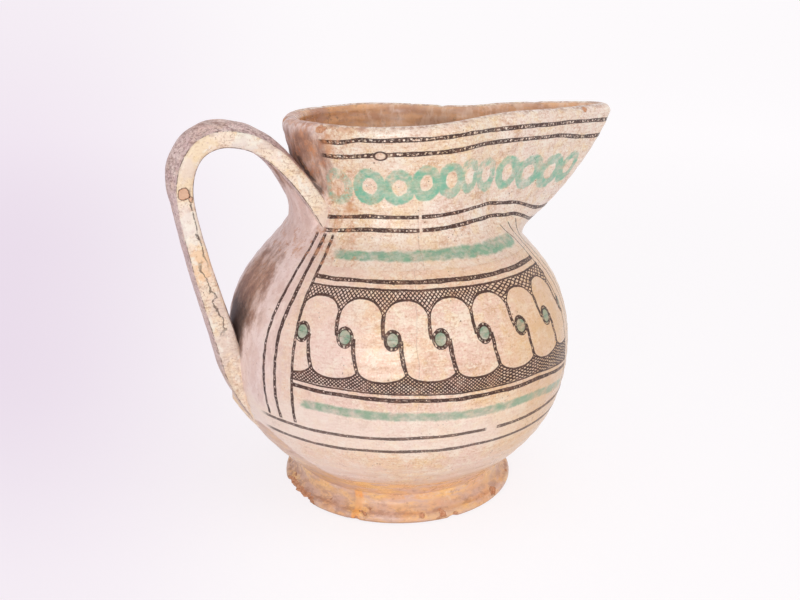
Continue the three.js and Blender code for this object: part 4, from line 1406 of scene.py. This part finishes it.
def strap_material():
    glaze = Glaze("strap_glaze", worn_glaze, cool=rgb(216, 184, 182), warm=rgb(226, 190, 178),
                  rose=rgb(224, 190, 192), ochre=rgb(226, 194, 168), pale=rgb(242, 222, 214),
                  stain=rgb(150, 112, 100), roughness=0.55, wear=1.4)
    side, share, level = (glaze.attribute(name) for name in ("side", "share", "level"))
    stain = glaze.patches(9.0, 54.0, 0.52, 0.68, detail=5.0, roughness=0.7)
    glaze.lay(stain * 0.6, rgb(160, 124, 114), 0.7)
    rubs = glaze.patches(5.0, 55.0, 0.54, 0.66, detail=5.0, roughness=0.7, stretch=(1.0, 1.6, 1.0))
    glaze.lay(rubs * 0.55, rgb(240, 218, 212), 0.5)
    scars = glaze.patches(2.6, 60.0, 0.51, 0.60, detail=5.0, roughness=0.75, stretch=(1.0, 1.5, 1.0))
    scars = scars * glaze.patches(17.0, 61.0, 0.42, 0.58, detail=3.0)
    glaze.lay(scars * 0.62, rgb(112, 82, 72), 0.8)
    edge_face = (side + glaze.sway(4.0, 51.0, 0.3, detail=3.0)).step(0.35, 0.6)
    glaze.lay_group(edge_face, worn_glaze, cool=rgb(248, 228, 210), warm=rgb(246, 220, 192),
                    rose=rgb(242, 212, 196), stain=rgb(186, 142, 112), roughness=0.4, wear=1.3)
    place = share + glaze.sway(7.0, 56.0, 0.12, detail=5.0, roughness=0.65)
    for low, high, color in STRAP_PATCHES:
        patch = place.between(low, low + 0.012, high - 0.012, high)
        glaze.lay(patch * edge_face * 0.65, color, 0.35)
    cool = glaze.patches(14.0, 62.0, 0.48, 0.62, detail=4.0, roughness=0.6)
    glaze.lay(cool * edge_face * 0.5, rgb(234, 216, 210), 0.45)
    brown = glaze.patches(4.0, 63.0, 0.57, 0.68, detail=5.0, roughness=0.72)
    glaze.lay(brown * edge_face * 0.5, rgb(176, 132, 98), 0.6)
    white = glaze.patches(10.0, 53.0, 0.55, 0.64, detail=4.0, roughness=0.65)
    glaze.lay(white * side * 0.7, rgb(250, 242, 230), 0.35)
    inner = 1.0 - glaze.attribute("front")
    dark = cloud(glaze.point, 2.2, 52.0, detail=4.0, roughness=0.7)
    edge_dirt = glaze.patches(16.0, 57.0, 0.40, 0.58, detail=3.0) * (inner * 0.30 + 0.32) + 0.12
    grime = (abs(side - 0.45).step(0.40, 0.05) * edge_dirt + (dark - 0.5) * 1.5).step(0.25, 0.44)
    glaze.lay(share.step(0.075, 0.03) * 0.8, rgb(240, 216, 200))
    tail_stain = glaze.patches(5.0, 59.0, 0.40, 0.62, detail=5.0, roughness=0.7)
    glaze.lay(share.step(0.74, 0.92) * tail_stain * 0.55, rgb(196, 160, 132), 0.6)
    glaze.lay(grime * 0.8, rgb(76, 52, 42), 0.8)
    crack = abs(level + 0.1 + glaze.sway(8.0, 58.0, 2.6, detail=4.0)).step(0.13, 0.03)
    crack = crack * share.between(0.60, 0.64, 0.77, 0.80)
    glaze.lay(crack * edge_face * 0.8, rgb(84, 62, 48), 0.8)
    open_edge = abs(level + 0.62 + glaze.sway(5.0, 66.0, 1.1, detail=4.0, roughness=0.7)).step(0.24, 0.10)
    open_edge = open_edge * side.step(0.2, 0.5) * share.between(0.44, 0.47, 0.58, 0.66)
    glaze.lay(open_edge * dark.step(0.36, 0.50) * 0.85, rgb(58, 40, 32), 0.85)
    chip = glaze.attribute("bare")
    glaze.bare(chip)
    hollow = (chip + glaze.sway(1.6, 60.0, 0.5, detail=3.0)).step(0.55, 0.9)
    glaze.lay(hollow * 0.7, rgb(232, 196, 170), 0.8)
    glaze.lay(abs(chip - 0.35).step(0.35, 0.05) * 0.85, rgb(92, 54, 42), 0.85)
    return glaze.finish(0.0005, coat=0.2)


def luting_material():
    """Pressed clay under the wall's own glaze, so that it runs into the wall without a border."""
    glaze = Glaze("luting_glaze", worn_glaze, cool=rgb(240, 209, 190), warm=rgb(242, 207, 165),
                  rose=rgb(242, 206, 188))
    glaze.shelter()
    dark = glaze.patches(2.6, 52.0, 0.62, 0.76, detail=4.0, roughness=0.7)
    glaze.lay(dark * 0.6, rgb(120, 82, 66), 0.8)
    return glaze.finish(0.0005, coat=0.1)


def foot_material():
    glaze = Glaze("foot_glaze", honey_glaze, **FOOT_TONES)
    z = glaze.z
    pale = glaze.patches(3.0, 62.0, 0.55, 0.72, detail=4.0, roughness=0.66)
    glaze.lay(pale * 0.5, rgb(250, 220, 188), 0.5)
    dull = glaze.patches(12.0, 61.0, 0.5, 0.66, detail=4.0, stretch=(0.5, 0.5, 1.0))
    glaze.lay(dull * 0.6, rgb(218, 184, 172), 0.6)
    band = abs(z - 7.5 + glaze.sway(12.0, 64.0, 6.0, detail=3.0)).step(5.0, 1.5)
    soiled = glaze.patches(3.4, 65.0, 0.44, 0.60, detail=5.0, roughness=0.7, stretch=(0.5, 0.5, 1.5))
    glaze.lay(band * soiled * 0.42, rgb(172, 124, 102), 0.7)
    glaze.lay(soiled * glaze.turn.step(96.0, 140.0) * 0.45, rgb(190, 148, 130), 0.7)
    glaze.lay_group(glaze.attribute("drip") * 0.9, honey_glaze, dirt=0.2, film=0.0,
                    deep=rgb(250, 166, 88), amber=rgb(255, 192, 120))
    glaze.lay(abs(z - 10.0).step(4.0, 1.0) * 0.35, rgb(218, 178, 160), 0.6)
    edge = glaze.radius.step(73.0, 75.0) * z.step(2.4, 0.8)
    glaze.lay(edge * 0.6, rgb(150, 92, 58), 0.8)
    clay = use(glaze.tree, bare_clay, point=glaze.point, mask=1.0)
    glaze.lay(glaze.attribute("under"), clay["Color"], 0.9, clay["Height"])
    glaze.bare(glaze.attribute("bare"))
    return glaze.finish(0.0005, coat=0.35)


# Studio

CAMERA_PLACE = (-0.21826405, -0.54022249, 0.30394741)
CAMERA_RIGHT = (0.92691701, -0.37524232, 0.00424949)
CAMERA_UP = (0.1093878, 0.28100534, 0.95345179)
CAMERA_AHEAD = (0.35896959, 0.88330584, -0.30151556)
CAMERA_LENS = 42.49
FILM_WIDTH = 36.0
PAPER_REACH = 40.0
PAPER_SHADOW = 0.2
PAPER_GLOW = 0.85
FAR_GLOW = 0.066
WORLD_LIGHT = 0.42

WHITE_LIGHT = (1.0, 1.0, 1.0)
WARM_LIGHT = (1.0, 0.97, 0.92)

# Soft lamps: name, place, aim, size, power, colour and whether it shows as a highlight in the glaze
LAMPS = (
    ("key", (-0.9, -1.5, 0.7), (0, 0, 0.12), (1.0, 1.0), 3.8, WHITE_LIGHT, False),
    ("top", (0.1, -0.2, 1.6), (0, 0, 0.1), (1.4, 1.4), 6.0, WHITE_LIGHT, False),
    ("fill", (1.3, -1.1, 0.6), (0, 0, 0.12), (0.9, 1.2), 5.0, WARM_LIGHT, False),
    ("window", (-0.76, -1.20, 0.32), (0, 0, 0.12), (0.70, 0.26), 5.5, WHITE_LIGHT, True),
)


def set_up(name, data, place, right, up, back):
    """Places a camera or a lamp, given by the directions of its own three axes."""
    obj = bpy.data.objects.new(name, data)
    rotation = Matrix([list(map(float, axis)) for axis in (right, up, back)]).transposed()
    obj.matrix_world = Matrix.Translation(place) @ rotation.to_4x4()
    bpy.context.scene.collection.objects.link(obj)
    return obj


def set_camera():
    data = bpy.data.cameras.new("camera")
    data.lens = CAMERA_LENS
    data.sensor_width = FILM_WIDTH
    data.sensor_fit = "HORIZONTAL"
    data.clip_start = 0.01
    back = [-part for part in CAMERA_AHEAD]
    bpy.context.scene.camera = set_up("camera", data, CAMERA_PLACE, CAMERA_RIGHT, CAMERA_UP, back)


def set_lamps():
    for name, place, aim, size, power, color, mirrored in LAMPS:
        data = bpy.data.lights.new(name, "AREA")
        data.shape = "RECTANGLE"
        data.size, data.size_y = size
        data.energy = power
        data.color = color
        back = np.subtract(place, aim) / np.linalg.norm(np.subtract(place, aim))
        right = np.cross((0.0, 0.0, 1.0), back)
        right /= np.linalg.norm(right)
        lamp = set_up(name, data, place, right, np.cross(back, right), back)
        lamp.visible_glossy = mirrored


def seen_directly(tree):
    """1 for what the camera sees, also in a glaze or through glass."""
    kinds = ("Is Camera Ray", "Is Glossy Ray", "Is Transmission Ray")
    return strongest([add(tree, "ShaderNodeLightPath", output=kind) for kind in kinds])


def paper_color(place):
    """White on the right of the picture and faintly lilac halfway up on the left."""
    ahead, across, above = (vector_calc("DOT_PRODUCT", place, axis, output="Value")
                            for axis in (CAMERA_AHEAD, CAMERA_RIGHT, CAMERA_UP))
    depth = ahead.most(0.1)
    lilac = (across / depth).step(-0.04, -0.44) * (1.0 - abs(above / depth).step(0.04, 0.34) * 0.5)
    return blend(lilac * ahead.step(0.1, 0.4), rgb(253, 250, 252), rgb(236, 223, 237))


def paper_material():
    material = bpy.data.materials.new("paper")
    material.use_nodes = True
    tree = material.node_tree
    spot = add(tree, "ShaderNodeTexCoord", output="Object")
    color = paper_color(vector_calc("SUBTRACT", spot, CAMERA_PLACE))
    from_jug = vector_calc("LENGTH", spot, output="Value")
    seen = seen_directly(tree)
    inputs = tree.nodes["Principled BSDF"].inputs
    inputs["Roughness"].default_value = 0.95
    inputs["Specular IOR Level"].default_value = 0.0
    put(inputs["Base Color"], blend(seen, rgb(246, 242, 244), scaled(color, PAPER_SHADOW)))
    put(inputs["Emission Color"], color)
    put(inputs["Emission Strength"], seen * (from_jug.step(0.25, 2.0) * FAR_GLOW + PAPER_GLOW))
    return material


def set_studio():
    bpy.context.scene.view_settings.view_transform = "Standard"
    corners = [(x * PAPER_REACH, y * PAPER_REACH, 0.0) for x, y in ((-1, -1), (1, -1), (1, 1), (-1, 1))]
    sweep = new_piece("paper_sweep", corners, [], [(0, 1, 2, 3)])
    sweep.data.materials.append(paper_material())
    sweep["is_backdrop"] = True
    world = bpy.data.worlds.new("studio")
    bpy.context.scene.world = world
    world.use_nodes = True
    inputs = world.node_tree.nodes["Background"].inputs
    seen = seen_directly(world.node_tree)
    color = paper_color(add(world.node_tree, "ShaderNodeTexCoord", output="Generated"))
    far_paper = PAPER_GLOW + FAR_GLOW + PAPER_SHADOW * WORLD_LIGHT
    put(inputs["Strength"], mixed(seen, WORLD_LIGHT, far_paper))
    put(inputs["Color"], blend(seen, (1.0, 1.0, 1.0, 1.0), color))
    set_lamps()


# Putting the jug together

def place_pieces():
    belly_finish = painted_belly_material()
    neck_finish = painted_neck_material()
    strap_finish = strap_material()
    foot_finish = foot_material()
    luting_finish = luting_material()
    pieces = [
        (make_foot(foot_finish), "foot", "foot_glaze"),
        (make_belly(belly_finish), "belly", "painted_glaze"),
        (make_neck(neck_finish), "neck", "painted_glaze"),
        (make_spout(neck_finish), "spout", "painted_glaze"),
        (make_strap(strap_finish), "handle", "strap_glaze"),
        (make_luting("handle_top_luting_glazed", TOP_LUTING, root_fillet, luting_finish, seed=1.3),
         "handle_top_luting", "strap_glaze"),
        (make_luting("handle_foot_luting_glazed", FOOT_LUTING, tail_skirt, luting_finish, seed=2.1),
         "handle_foot_luting", "strap_glaze"),
    ]
    for piece, node, finish in pieces:
        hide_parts(node)
        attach(piece, "root")


place_pieces()
set_studio()
set_camera()
boxes = {"cad": cad_box, "visual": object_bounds()}
